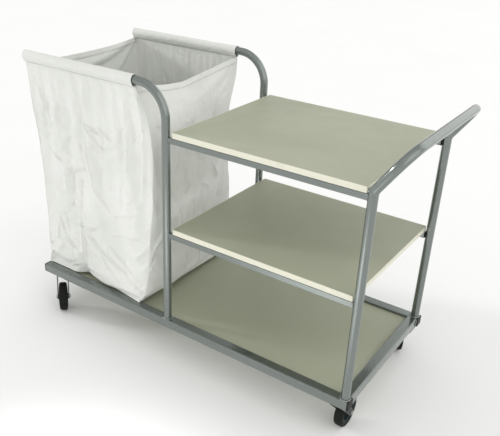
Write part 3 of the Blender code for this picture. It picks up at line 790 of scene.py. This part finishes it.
def add_caster_fork(corner):
    """Swivelling fork with its ball cup, axle bolt, washers and nut."""
    body = "caster_" + corner
    trail = caster_places(corner)[2].length
    fork, cup = pressed_fork(trail)
    matrix = caster_matrix(corner, centred_on_wheel=False)
    # The fork and its ball cup take the zinc darkened as painted shade.
    piece = add_piece("pressed_fork_" + corner, fork, body, SHADED_FORK_ZINC,
                      ("caster_fork_" + corner,), matrix, sharp=30.0)
    soften(piece, 0.0004)
    add_piece("ball_cup_" + corner, cup, body, SHADED_FORK_ZINC, matrix=matrix)

    shape = bmesh.new()
    face = FORK_HALF_GAP + FORK_PLATE + 0.0002
    for direction, size in ((-1, AXLE_HEAD), (1, AXLE_NUT)):
        add_hex_head(shape, Vector((0, direction * face, 0)), (0, direction, 0), size)
    radius, root, steps = 0.0040, 0.0036, 4
    thread = [(face + 0.0040 + 0.0012 * step / steps, radius if step % 2 else root)
              for step in range(steps + 1)]
    shank = [(-face, radius), (face + 0.0038, radius)] + thread + [(face + 0.0055, 0.0030)]
    add_loft(shape, [[Vector((a, y, b)) for a, b in circle(radius, 28)] for y, radius in shank])
    add_piece("axle_set_" + corner, shape, body, ZINC, ("axle_bolt_" + corner,),
              caster_matrix(corner, centred_on_wheel=True))


def tyre_profile():
    """Tyre section as (y, radius): flat-crowned tread, round shoulders, moulded ridge."""
    half = 0.0135
    seat = 0.0362
    shoulder = 0.0050
    side = [(half - 0.0012, seat), (half - 0.0002, seat + 0.0016), (half, seat + 0.0034),
            (half - 0.0007, seat + 0.0044), (half - 0.0006, WHEEL_RADIUS - shoulder)]
    steps = 7
    for step in range(1, steps + 1):
        angle = math.pi / 2 * step / steps
        side.append((half - 0.0006 - shoulder + shoulder * math.cos(angle),
                     WHEEL_RADIUS - 0.0004 - shoulder + shoulder * math.sin(angle)))
    crown = [(0.0045, WHEEL_RADIUS - 0.0001), (0.0004, WHEEL_RADIUS)]
    right = side + crown
    return right + [(-y, radius) for y, radius in reversed(right)]


def hub_profile(angle):
    """Wheel centre section as (y, radius): boss, ribbed web and rim, at an angle."""
    ribs, rib_height, rib_foot, rib_slope = 8, 0.0050, 0.070, 0.030
    from_rib = abs((angle * ribs / (2 * math.pi) + 0.5) % 1.0 - 0.5) * 2 * math.pi / ribs
    rise = rib_height * max(0.0, min(1.0, (rib_foot - from_rib) / rib_slope))
    web = 0.0040 + rise
    side = [(0.0162, 0.0044), (0.0165, 0.0048), (0.0165, 0.0098), (0.0160, 0.0104),
            (web + 0.0006, 0.0112), (web, 0.0120), (web, 0.0300), (web + 0.0004, 0.0306),
            (0.0112, 0.0322), (0.0118, 0.0330), (0.0118, 0.0354), (0.0110, 0.0360)]
    return side + [(-y, radius) for y, radius in reversed(side)]


def add_wheel(corner):
    """Rubber tyre on its ribbed nylon centre."""
    body = "wheel_" + corner
    matrix = caster_matrix(corner, centred_on_wheel=True)
    add_piece("rubber_tyre_" + corner, turned(tyre_profile(), 96), body, RUBBER,
              ("tyre_" + corner,), matrix, sharp=60.0)
    add_piece("nylon_wheel_" + corner, turned(hub_profile, 192), body, NYLON,
              ("wheel_hub_" + corner,), matrix)


# ------------------------------------------------------------------ laundry bag
CLOTH_THICKNESS = 0.0012
SLEEVE_RADIUS = 0.0147
SLEEVE_DROP = 0.0055
SEAM_Z = ARM_HEIGHT - SLEEVE_RADIUS - SLEEVE_DROP + 0.0006
BAG_LEFT_X = -0.003
BAG_RIGHT_X = 0.4496
BAG_FLOOR_Z = BAG_BOTTOM + 0.0002
COLUMNS_ALONG = 44
COLUMNS_ACROSS = 48
ROWS = 70
FINENESS = 2            # the finished cloth has twice the columns of the settled one
SIM_FRAMES = 26
SIM_CAP = 0.011
SIM_SETTINGS = {"quality": 5, "mass": 0.20, "air_damping": 3.0, "tension_stiffness": 20.0,
                "compression_stiffness": 20.0, "shear_stiffness": 8.0, "bending_stiffness": 0.30,
                "vertex_group_mass": "held", "pin_stiffness": 1.0, "shrink_min": -0.012}

# Values up each corner edge of the bag as (share of its height, value).
FRONT_LEFT_X = ((0, 0.001), (0.18, 0.012), (0.45, 0.020), (0.68, 0.016), (0.86, 0.004),
                (1, -0.003))
FRONT_RIGHT_X = ((0, 0.436), (0.08, 0.464), (0.25, 0.489), (0.50, 0.508), (0.72, 0.514),
                 (0.88, 0.496), (1, 0.4496))
REAR_RIGHT_X = ((0, 0.443), (0.30, 0.430), (0.60, 0.420), (0.80, 0.430), (0.92, 0.446),
                (1, 0.4496))
REAR_LEFT_X = ((0, 0.004), (0.45, 0.022), (0.80, 0.012), (1, -0.003))
FRONT_RIGHT_Y = ((0, 0.019), (0.15, 0.013), (0.50, 0.008), (0.80, 0.006), (1, 0.015))
FRONT_LEFT_Y = ((0, 0.030), (0.30, 0.025), (0.70, 0.018), (1, 0.015))
FRONT_TUCK = ((0, 0.000), (0.20, 0.003), (0.32, 0.008), (0.38, 0.027), (0.46, 0.022), (0.60, 0.014),
              (0.75, 0.012), (0.88, 0.006), (1, 0.000))
REAR_INSET = ((0, 0.018), (0.50, 0.012), (1, 0.015))
RIGHT_RIM_DIP = ((0, 0.000), (0.12, 0.004), (0.22, 0.014), (0.34, 0.021), (0.45, 0.024),
                 (0.57, 0.019), (0.72, 0.012), (0.87, 0.004), (1, 0.000))

# Creases of each panel. First come the shares across and up of one end and of the other, in
# thousandths, then the half width and the height, in tenths of a millimetre.
CREASES = {
    "front": (
        (515, 947, 455, 813, 102, 62), (455, 813, 482, 760, 93, 83), (473, 790, 568, 762, 85, 76),
        (575, 787, 673, 752, 85, 83), (490, 745, 600, 700, 93, 62), (442, 711, 512, 496, 127, 97),
        (512, 496, 640, 420, 102, 62), (87, 636, 229, 583, 102, 76), (91, 889, 130, 811, 102, 51),
        (50, 940, 150, 740, 127, 46), (250, 930, 240, 700, 119, -41), (248, 529, 300, 562, 93, 89),
        (300, 562, 423, 584, 93, 83), (300, 545, 300, 380, 119, -55), (410, 570, 360, 330, 110, -49),
        (985, 960, 948, 827, 93, 69), (948, 827, 924, 539, 93, 76), (850, 930, 800, 640, 136, 49),
        (780, 600, 740, 420, 136, -49), (620, 880, 590, 640, 136, -41), (353, 318, 382, 287, 85, 97),
        (382, 287, 508, 309, 85, 89), (362, 299, 365, 85, 93, 83), (381, 275, 782, 131, 110, 110),
        (782, 131, 944, 83, 110, 89), (640, 240, 860, 150, 110, 83), (560, 170, 760, 60, 102, 69),
        (420, 210, 500, 70, 110, -69), (180, 217, 310, 146, 93, 89), (140, 290, 190, 225, 85, 69),
        (124, 249, 118, 165, 85, 76), (81, 71, 160, 140, 93, 83), (210, 330, 250, 230, 110, -69),
        (260, 130, 300, 20, 102, 69), (658, 296, 914, 344, 85, 31), (680, 400, 880, 450, 85, 25),
        (325, 60, 603, 50, 93, 83), (900, 245, 995, 330, 93, 103), (860, 330, 985, 400, 93, 31),
        (880, 60, 985, 140, 102, 69)),
    "right": (
        (20, 290, 130, 405, 120, 149), (30, 240, 110, 330, 120, -108), (380, 650, 370, 500, 110, 115),
        (390, 500, 630, 560, 110, 115), (550, 510, 700, 430, 110, 108), (740, 540, 810, 440, 110, 108),
        (460, 480, 450, 370, 100, 88), (260, 470, 260, 370, 110, 88), (390, 460, 360, 380, 100, 81),
        (160, 560, 300, 480, 120, -74), (420, 180, 430, 20, 100, 101), (640, 180, 600, 20, 110, 81),
        (300, 760, 220, 630, 140, 81), (480, 860, 560, 660, 140, 81), (100, 900, 200, 700, 140, -68),
        (780, 880, 700, 640, 140, 74), (180, 300, 480, 230, 130, -74), (520, 330, 840, 240, 130, 74)),
    "rear": (
        (300, 850, 450, 450, 140, 60), (660, 950, 660, 50, 100, 35), (700, 400, 900, 80, 130, 60),
        (100, 500, 900, 490, 100, 30)),
    "left": (
        (500, 920, 500, 60, 120, -60), (150, 300, 500, 600, 130, 55), (850, 250, 500, 580, 130, 55),
        (80, 950, 280, 720, 130, 50)),
}


def along(points, share):
    """Smooth value at a share of the way through (share, value) points."""
    shares = np.array([p[0] for p in points], float)
    values = np.array([p[1] for p in points], float)
    slopes = np.gradient(values, shares)
    i = int(np.clip(np.searchsorted(shares, share) - 1, 0, len(shares) - 2))
    width = shares[i + 1] - shares[i]
    t = (share - shares[i]) / width
    return float((2 * t ** 3 - 3 * t ** 2 + 1) * values[i] + (t ** 3 - 2 * t ** 2 + t) * width
                 * slopes[i] + (3 * t ** 2 - 2 * t ** 3) * values[i + 1]
                 + (t ** 3 - t ** 2) * width * slopes[i + 1])


def rim_dip(panel, share):
    """How far the rim hangs below the sleeves' seams; share runs front to rear."""
    if panel == "right":
        return along(RIGHT_RIM_DIP, share)
    if panel == "left":
        return 0.006 * math.sin(math.pi * share)
    return 0.0


def corner_edges(up):
    """The (x, y) of the four corner edges at a share of the height."""
    rear_y = BASE_WIDTH - along(REAR_INSET, up)
    return {"front_left": (along(FRONT_LEFT_X, up), along(FRONT_LEFT_Y, up)),
            "front_right": (along(FRONT_RIGHT_X, up), along(FRONT_RIGHT_Y, up)),
            "rear_left": (along(REAR_LEFT_X, up), rear_y),
            "rear_right": (along(REAR_RIGHT_X, up), rear_y)}


def wall_point(panel, across, up):
    """A point of the bag's wall before the cloth is settled.

    across runs from left to right on the long panels and front to rear on the others.
    """
    belly = math.sin(math.pi * up)
    edges = corner_edges(up)
    if panel in SIDES:
        start, end = edges[panel + "_left"], edges[panel + "_right"]
        x_share = across
    else:
        start, end = edges["front_" + panel], edges["rear_" + panel]
        x_share = across * across * (3 - 2 * across)
    x = start[0] + (end[0] - start[0]) * x_share
    y = start[1] + (end[1] - start[1]) * across
    if panel == "front":
        y += along(FRONT_TUCK, across) * (1 - up) ** 4
        y += 0.006 * belly * math.sin(2 * math.pi * across)
    elif panel == "rear":
        y += 0.012 * belly * math.sin(math.pi * across)
    elif panel == "right":
        x += 0.010 * belly * math.sin(math.pi * across ** 0.7)
    else:
        x += 0.014 * belly * math.sin(math.pi * across)
    top = SEAM_Z - rim_dip(panel, across)
    return place(x, y, BAG_FLOOR_Z + (top - BAG_FLOOR_Z) * up)


def corner_columns(fineness):
    """The wall columns at the corners: front left, front right, rear right, rear left."""
    wide, deep = COLUMNS_ALONG * fineness, COLUMNS_ACROSS * fineness
    return 0, wide, wide + deep, 2 * wide + deep


def panel_columns(fineness):
    """Every wall column in order round the bag, as (panel, share across)."""
    wide, deep = COLUMNS_ALONG * fineness, COLUMNS_ACROSS * fineness
    return ([("front", i / wide) for i in range(wide)]
            + [("right", i / deep) for i in range(deep)]
            + [("rear", 1 - i / wide) for i in range(wide)]
            + [("left", 1 - i / deep) for i in range(deep)])


def floor_grid(wall, wide, deep):
    """The bottom panel's points, from the wall's lowest row."""
    ring = wall[0]
    front = ring[:wide + 1]
    right = ring[wide:wide + deep + 1]
    rear = ring[wide + deep:2 * wide + deep + 1][::-1]
    left = np.concatenate([ring[2 * wide + deep:], ring[:1]])[::-1]
    s = np.linspace(0, 1, wide + 1)[None, :, None]
    t = np.linspace(0, 1, deep + 1)[:, None, None]
    straight_in = front[None] * (1 - t) + rear[None] * t
    sideways = left[:, None] * (1 - s) + right[:, None] * s
    corners = ((1 - s) * (1 - t) * front[0] + s * (1 - t) * front[-1]
               + (1 - s) * t * rear[0] + s * t * rear[-1])
    return straight_in + sideways - corners


def cloth_mesh(wall, fineness):
    """Quads of the wall and the bottom, as a mesh; the wall's vertices come first."""
    rows, columns = wall.shape[:2]
    _, wide, rear, left = corner_columns(fineness)
    deep = rear - wide
    inner = floor_grid(wall, wide, deep)[1:-1, 1:-1]
    index = np.zeros((deep + 1, wide + 1), int)
    index[0, :wide] = np.arange(wide)
    index[:deep, wide] = np.arange(wide, rear)
    index[deep, :0:-1] = np.arange(rear, left)
    index[:0:-1, 0] = np.arange(left, columns)
    index[1:-1, 1:-1] = rows * columns + np.arange(inner[:, :, 0].size).reshape(inner.shape[:2])
    grid = np.arange(rows * columns).reshape(rows, columns)
    after = np.roll(grid, -1, axis=1)
    quads = ((grid[:-1], after[:-1], after[1:], grid[1:]),
             (index[:-1, :-1], index[1:, :-1], index[1:, 1:], index[:-1, 1:]))
    faces = np.concatenate([np.stack(corners, axis=-1).reshape(-1, 4) for corners in quads])
    points = np.concatenate([wall.reshape(-1, 3), inner.reshape(-1, 3)])
    mesh = bpy.data.meshes.new("laundry_bag_cloth")
    mesh.from_pydata(points.tolist(), [], faces.tolist())
    mesh.update()
    return mesh


def settle(wall):
    """Let slightly loose cloth settle between its seams and the bottom by simulation."""
    mesh = cloth_mesh(wall, 1)
    cloth = add_object("settling_cloth", mesh)
    rows, columns = wall.shape[:2]
    held = cloth.vertex_groups.new(name="held")
    corners = corner_columns(1)
    top = [(rows - 1) * columns + c for c, (panel, _) in enumerate(panel_columns(1))
           if panel in ("front", "rear") or c in corners]
    bottom = list(range(columns)) + list(range(rows * columns, len(mesh.vertices)))
    held.add(top + bottom, 1.0, 'REPLACE')
    edge = [r * columns + c for r in range(1, rows - 1) for c in corners]
    held.add(edge, 0.35, 'REPLACE')

    modifier = cloth.modifiers.new("settle", 'CLOTH')
    for name, value in SIM_SETTINGS.items():
        setattr(modifier.settings, name, value)
    modifier.settings.effector_weights.gravity = 0.6
    modifier.collision_settings.use_collision = False
    modifier.point_cache.frame_start = 1
    modifier.point_cache.frame_end = SIM_FRAMES
    scene = bpy.context.scene
    for step in range(1, SIM_FRAMES + 1):
        scene.frame_set(step)
    settled = cloth.evaluated_get(bpy.context.evaluated_depsgraph_get()).to_mesh()
    count = rows * columns
    points = np.array([v.co for v in settled.vertices][:count], float).reshape(wall.shape)
    bpy.data.objects.remove(cloth)
    scene.frame_set(1)
    shift = points - wall
    length = np.linalg.norm(shift, axis=2, keepdims=True)
    limit = SIM_CAP * np.tanh(length / SIM_CAP)
    return wall + shift * limit / np.maximum(length, 1e-9)


def finer(grid, closed):
    """Double a grid's columns with a smooth curve through them."""
    if closed:
        padded = np.concatenate([grid[:, -1:], grid, grid[:, :2]], axis=1)
    else:
        first = 2 * grid[:, :1] - grid[:, 1:2]
        last = 2 * grid[:, -1:] - grid[:, -2:-1]
        padded = np.concatenate([first, grid, last], axis=1)
    middle = (9 * (padded[:, 1:-2] + padded[:, 2:-1]) - padded[:, :-3] - padded[:, 3:]) / 16
    count = grid.shape[1] if closed else grid.shape[1] - 1
    result = np.zeros((grid.shape[0], grid.shape[1] + count, 3))
    result[:, 0::2] = grid
    result[:, 1::2] = middle[:, :count]
    return result


def outward_normals(wall):
    """Unit normals of the wall, pointing out of the bag."""
    across = np.roll(wall, -1, axis=1) - np.roll(wall, 1, axis=1)
    up = np.gradient(wall, axis=0)
    normals = np.cross(across, up)
    return normals / np.maximum(np.linalg.norm(normals, axis=2, keepdims=True), 1e-9)


def creases_of(panel):
    """The creases of a panel as (start, end, half width, height), in shares and metres."""
    return [((a / 1000, b / 1000), (c / 1000, d / 1000), half_width / 10000, rise / 10000)
            for a, b, c, d, half_width, rise in CREASES[panel]]


def crease_height(panel, across, up, width, height):
    """Height of all the creases of a panel at arrays of places on it."""
    total = np.zeros(across.shape)
    for start, end, half_width, rise in creases_of(panel):
        run_x, run_y = (end[0] - start[0]) * width, (end[1] - start[1]) * height
        from_x, from_y = (across - start[0]) * width, (up - start[1]) * height
        share = (from_x * run_x + from_y * run_y) / (run_x ** 2 + run_y ** 2)
        held = np.clip(share, 0.0, 1.0)
        away = np.hypot(from_x - run_x * held, from_y - run_y * held) / half_width
        fade = np.sin(math.pi * np.clip(share, 0.04, 0.96)) ** 0.5
        total += rise * np.maximum(0.0, 1 - away) ** 1.4 * fade
    return total


def crumple(point):
    """Height of the short fold lines that washing leaves all over the cloth."""
    total = 0.0
    for scale, width, height, seed in ((7.0, 0.14, 0.0110, 2.7), (15.0, 0.16, 0.0060, 7.3)):
        strayed = noise.noise_vector(point * scale * 0.7) * 0.45
        distances = noise.voronoi(point * scale + strayed + Vector((seed, seed, 0.0)))[0]
        ridge = math.exp(-((distances[1] - distances[0]) / width) ** 2)
        total += height * ridge * noise.noise(point * scale * 0.5 + Vector((0.0, seed, 3.1)))
    return total


def add_creases(wall):
    """Press the creases into the wall along its normals."""
    normals = outward_normals(wall)
    rows = wall.shape[0]
    columns = panel_columns(FINENESS)
    ups = np.linspace(0.0, 1.0, rows)[:, None]
    rise = np.zeros(wall.shape[:2])
    for panel in CREASES:
        own = [c for c, (name, _) in enumerate(columns) if name == panel]
        across = np.array([columns[c][1] for c in own])[None, :]
        width = 0.48 if panel in ("front", "rear") else 0.50
        shares, heights = np.broadcast_arrays(across, ups)
        rise[:, own] = crease_height(panel, shares, heights, width, SEAM_Z - BAG_FLOOR_Z)
    for r, c in np.ndindex(rise.shape):
        point = Vector(wall[r, c])
        across = columns[c][1]
        calm = min(1.0, 0.15 + 7 * min(across, 1 - across))
        rise[r, c] += calm * (noise.noise(point * 21.0) * 0.0012 + crumple(point))
    fade = np.clip(6 * np.minimum(ups, 1 - ups), 0.0, 1.0)
    return wall + normals * (rise * fade)[:, :, None]


def keep_clear(wall):
    """Keep the cloth above the rails and away from the uprights beside it."""
    limit = ORIGIN.x + MID_POST_X - TUBE_RADIUS - 0.006
    wall[:, :, 0] = np.minimum(wall[:, :, 0], limit)
    wall[:, :, 2] = np.maximum(wall[:, :, 2], BAG_FLOOR_Z)
    return wall


def bag_wall():
    """The finished wall of the bag, as rows of points from the bottom up."""
    columns = panel_columns(1)
    wall = np.array([[wall_point(panel, across, r / ROWS) for panel, across in columns]
                     for r in range(ROWS + 1)], float)
    for r in range(1, ROWS):
        for c in range(len(columns)):
            jitter = noise.noise_vector(Vector(wall[r, c]) * 9.0)
            wall[r, c] += np.array(jitter) * 0.0040 * min(1.0, 5 * (1 - r / ROWS), 5 * r / ROWS)
    wall = settle(wall)
    wall = finer(wall, closed=True)
    wall = finer(wall.transpose(1, 0, 2), closed=False).transpose(1, 0, 2)
    return keep_clear(add_creases(wall))


def thicken(piece, thickness):
    """Give a sheet its thickness, shared by both faces."""
    solid = piece.modifiers.new("thickness", 'SOLIDIFY')
    solid.thickness = thickness
    solid.offset = 0.0


def add_sleeve(side):
    """The sleeve that holds the bag on an arm: a loose loop closed by a seam below."""
    stations, sides = 120, 44
    flare_height, flare_share = 0.0009, 0.04
    wrinkle_height, fold_height = 0.0011, 0.0005
    centre_y = side_y(side, POST_INSET)

    def ring(x, inset):
        points = []
        share = (x - BAG_LEFT_X) / (BAG_RIGHT_X - BAG_LEFT_X)
        flare = flare_height * (max(0.0, 1 - share / flare_share)
                                + max(0.0, 1 - (1 - share) / flare_share))
        for i in range(sides):
            angle = -math.pi / 2 + 2 * math.pi * i / sides
            under = max(0.0, -math.sin(angle)) ** 5
            wrinkle = noise.noise(Vector((x * 48.0, math.cos(angle) * 1.6, math.sin(angle) * 1.6)))
            fold = noise.noise(Vector((x * 140.0, angle * 0.9, 5.0 if side == "front" else 9.0)))
            loose = wrinkle_height * max(0.0, wrinkle) + fold_height * max(0.0, fold)
            radius = SLEEVE_RADIUS + SLEEVE_DROP * under + loose + flare - inset
            points.append(place(x, centre_y + radius * math.cos(angle),
                                ARM_HEIGHT + radius * math.sin(angle)))
        return points

    places = [BAG_LEFT_X + (BAG_RIGHT_X - BAG_LEFT_X) * i / stations for i in range(stations + 1)]
    shape = bmesh.new()
    add_loft(shape, [ring(x, 0.0) for x in places]
             + [ring(x, CLOTH_THICKNESS) for x in reversed(places)], capped=False)
    return add_piece("bag_sleeve_" + side, shape, "bag", CLOTH, sharp=60.0)


def add_hems(wall, normals):
    """Folded hems along the two open ends of the rim."""
    _, right, rear, left = corner_columns(FINENESS)
    rows, columns = wall.shape[:2]
    depth, fold_rise, hem_thickness = 4, 0.0010, 0.0007
    clear = CLOTH_THICKNESS * 0.5 + 0.0009
    outside = [(r, clear) for r in range(rows - depth, rows)]
    inside = [(r, -clear) for r, _ in reversed(outside)]
    shape = bmesh.new()
    for first in (right, left):
        profiles = []
        for column in range(first, first + rear - right + 1):
            c = column % columns
            profile = []
            for r, offset in outside + inside:
                point = Vector(wall[r, c]) + Vector(normals[r, c]) * offset
                if r == rows - 1:
                    point.z += fold_rise
                profile.append(shape.verts.new(point))
            profiles.append(profile)
        for before, after in zip(profiles, profiles[1:]):
            for k in range(len(before) - 1):
                shape.faces.new((before[k], after[k], after[k + 1], before[k + 1]))
    piece = add_piece("bag_hems", shape, "bag", CLOTH, sharp=80.0)
    thicken(piece, hem_thickness)
    return piece


def add_seams(wall, normals):
    """Sewn welts up the four corner edges of the bag."""
    rows, columns = wall.shape[:2]
    radius, sides, lift = 0.0014, 8, 0.0008
    shape = bmesh.new()
    for c in corner_columns(FINENESS):
        path = []
        for r in range(1, rows - 1):
            outward = sum((Vector(normals[r, (c + step) % columns]) for step in (2, -2)), Vector())
            path.append(Vector(wall[r, c]) + outward.normalized() * lift)
        rings = []
        for i, point in enumerate(path):
            tangent = (path[min(i + 1, len(path) - 1)] - path[max(i - 1, 0)]).normalized()
            side = tangent.cross(Vector((0.4, 0.9, 0.1))).normalized()
            up = side.cross(tangent)
            swell = 1.0 + 0.12 * math.sin(i * 2.1) + 0.08 * math.sin(i * 0.7)
            rings.append([point + (side * a + up * b) * swell for a, b in circle(radius, sides)])
        add_loft(shape, rings)
    return add_piece("bag_seams", shape, "bag", CLOTH, sharp=80.0)


def add_stitch(shape, point, direction, normal, length, radius):
    """Add one stitch: a short thread that dips into the cloth at both ends."""
    side = direction.cross(normal).normalized()
    rings = []
    stations = ((-0.5, -0.6, 0.6), (-0.25, 0.35, 1.0), (0.25, 0.35, 1.0), (0.5, -0.6, 0.6))
    for share, lift, girth in stations:
        centre = point + direction * (length * share) + normal * (radius * lift)
        rings.append([centre + (side * a + normal * b) * girth for a, b in circle(radius, 6)])
    add_loft(shape, rings)


def stitch_line(shape, points, normals):
    """Add evenly spaced stitches along a line of points with normals."""
    spacing, length, radius = 0.0042, 0.0042 * 0.72, 0.00032
    ahead = spacing
    for i in range(len(points) - 1):
        start, end = points[i], points[i + 1]
        run = (end - start).length
        while ahead < run:
            share = ahead / run
            normal = normals[i].lerp(normals[i + 1], share).normalized()
            add_stitch(shape, start.lerp(end, share), (end - start).normalized(), normal,
                       length, radius)
            ahead += spacing
        ahead -= run


def add_stitching(wall, normals):
    """Stitching below both sleeves and along both hems, on both faces of the cloth."""
    front, right, rear, left = corner_columns(FINENESS)
    wide, deep = right - front, rear - right
    rows, columns = wall.shape[:2]
    sleeve_row, sleeve_lift = rows - 2, 0.0006
    hem_row, hem_lift = rows - 4, 0.0020
    shape = bmesh.new()
    for first, count, row, lift in ((front, wide, sleeve_row, sleeve_lift),
                                    (rear, wide, sleeve_row, sleeve_lift),
                                    (right, deep, hem_row, hem_lift),
                                    (left, deep, hem_row, hem_lift)):
        for sign in (1, -1):
            places = [(first + i) % columns for i in range(1, count)]
            line = [Vector(wall[row, c]) + Vector(normals[row, c]) * sign * lift for c in places]
            facing = [Vector(normals[row, c]) * sign for c in places]
            stitch_line(shape, line, facing)
    return add_piece("bag_stitching", shape, "bag", THREAD, sharp=80.0)


def pressed_lines(panel):
    """The crisp ridge of each raised crease of a panel, as (start, end) points."""
    return [(wall_point(panel, *start), wall_point(panel, *end))
            for start, end, _, rise in creases_of(panel) if rise > 0]


def add_laundry_bag():
    """Cloth bag hung by two sleeves, with hems, seams and stitching."""
    wall = bag_wall()
    front = (Vector((1, 0, 1)), place(-0.1, -0.1, 0.0), place(0.6, 0.1, 1.0),
             pressed_lines("front"))
    right = (Vector((0, 1, 1)), place(0.40, 0.03, 0.0), place(0.6, 0.6, 1.0),
             pressed_lines("right"))
    creased = make_cloth("creased_cloth", (front, right))
    normals = outward_normals(wall)
    shape = bmesh.new()
    shape.from_mesh(cloth_mesh(wall, FINENESS))
    bag = add_piece("laundry_bag_cloth", shape, "bag", creased, ("laundry_bag",),
                    sharp=75.0)
    thicken(bag, CLOTH_THICKNESS)
    trimmings = [add_sleeve(side) for side in SIDES]
    trimmings += [add_hems(wall, normals), add_seams(wall, normals), add_stitching(wall, normals)]


# ------------------------------------------------------------------ studio
def add_camera():
    """A level-headed three-quarter view from the handle end, looking down at the cart."""
    yaw, pitch, roll = (math.radians(angle) for angle in (-34.763, 26.6235, 1.8716))
    forward = Vector((math.sin(yaw) * math.cos(pitch), math.cos(yaw) * math.cos(pitch),
                      -math.sin(pitch)))
    right = forward.cross(Vector((0.0, 0.0, 1.0))).normalized()
    up = right.cross(forward)
    tilted_right = right * math.cos(roll) + up * math.sin(roll)
    tilted_up = up * math.cos(roll) - right * math.sin(roll)
    data = bpy.data.cameras.new("camera")
    data.sensor_width = 36.0
    data.lens = 48.48
    data.shift_x = 0.0476
    data.shift_y = 0.0132
    camera = add_object("camera", data)
    turn = Matrix((tilted_right, tilted_up, -forward)).transposed().to_4x4()
    camera.matrix_world = Matrix.Translation(place(1.7153, -1.3414, 1.3801)) @ turn
    bpy.context.scene.camera = camera


def add_light(kind, name, direction, **settings):
    """A light that shines along a direction."""
    data = bpy.data.lights.new(name, kind)
    for setting, value in settings.items():
        setattr(data, setting, value)
    light = add_object(name, data)
    light.rotation_euler = Vector(direction).to_track_quat('-Z', 'Y').to_euler()
    return light


def add_floor():
    """A plain pale floor, just below the tyres."""
    floor = Finish("pale_floor", Specular_IOR_Level=0.2)
    colour = floor.mix(floor.noise(1.5, 3.0), grey(0.90), grey(0.93))
    rough = floor.between(floor.noise(40.0, 2.0), 0.2, 0.8, 0.65, 0.8)
    shape = bmesh.new()
    bmesh.ops.create_grid(shape, x_segments=1, y_segments=1, size=40.0)
    mesh = mesh_of("floor", shape)
    mesh.materials.append(floor.finished(colour, rough))
    plane = add_object("floor", mesh)
    plane.location.z = -0.0004


def add_surroundings():
    """A plain bright room that is a little brighter toward the handle end and the front."""
    world = bpy.data.worlds.new("studio")
    bpy.context.scene.world = world
    room = Nodes(world)
    darkest, brightest = 0.62, 0.95
    towards = room.vector_math('DOT_PRODUCT', _0=room.node("TexCoord").outputs["Generated"],
                               _1=Vector((0.80, -0.55, 0.05)).normalized())["Value"]
    brightness = room.node("MapRange", Value=towards, _1=-1.0, _3=darkest, _4=brightest)
    background = room.tree.nodes["Background"]
    background.inputs["Color"].default_value = (1.0, 1.0, 0.98, 1.0)
    room.tree.links.new(brightness.outputs[0], background.inputs["Strength"])


def add_lights():
    """Even light from four sides, as from large softboxes, and a pool of light on the floor."""
    for name, direction, spread, strength in (
            ("overhead_light", (0.15, 0.30, -1.0), 60.0, 0.10),
            ("right_light", (-0.88, 0.22, -0.40), 80.0, 0.80),
            ("side_light", (0.92, 0.32, -0.24), 7.0, 1.20),
            ("rear_light", (-0.25, -0.88, -0.40), 60.0, 0.55)):
        add_light('SUN', name, direction, angle=math.radians(spread), energy=strength)
    pool = add_light('SPOT', "floor_light", (0.0, 1.7, -3.2), energy=1300.0, spot_blend=1.0,
                     spot_size=math.radians(16.0), shadow_soft_size=0.3)
    pool.location = place(0.85, -2.6, 3.2)


# ------------------------------------------------------------------ assembly
add_camera()
dress_cad_nodes()
arm_pieces = add_frame_tubes()
add_foot_welds()
add_shelf_welds()
add_base_welds()
add_board_screws()
for caster in CASTERS:
    add_caster_top(caster)
    add_caster_fork(caster)
    add_wheel(caster)
add_laundry_bag()
add_floor()
add_surroundings()
add_lights()
bpy.context.scene.view_settings.view_transform = 'Standard'
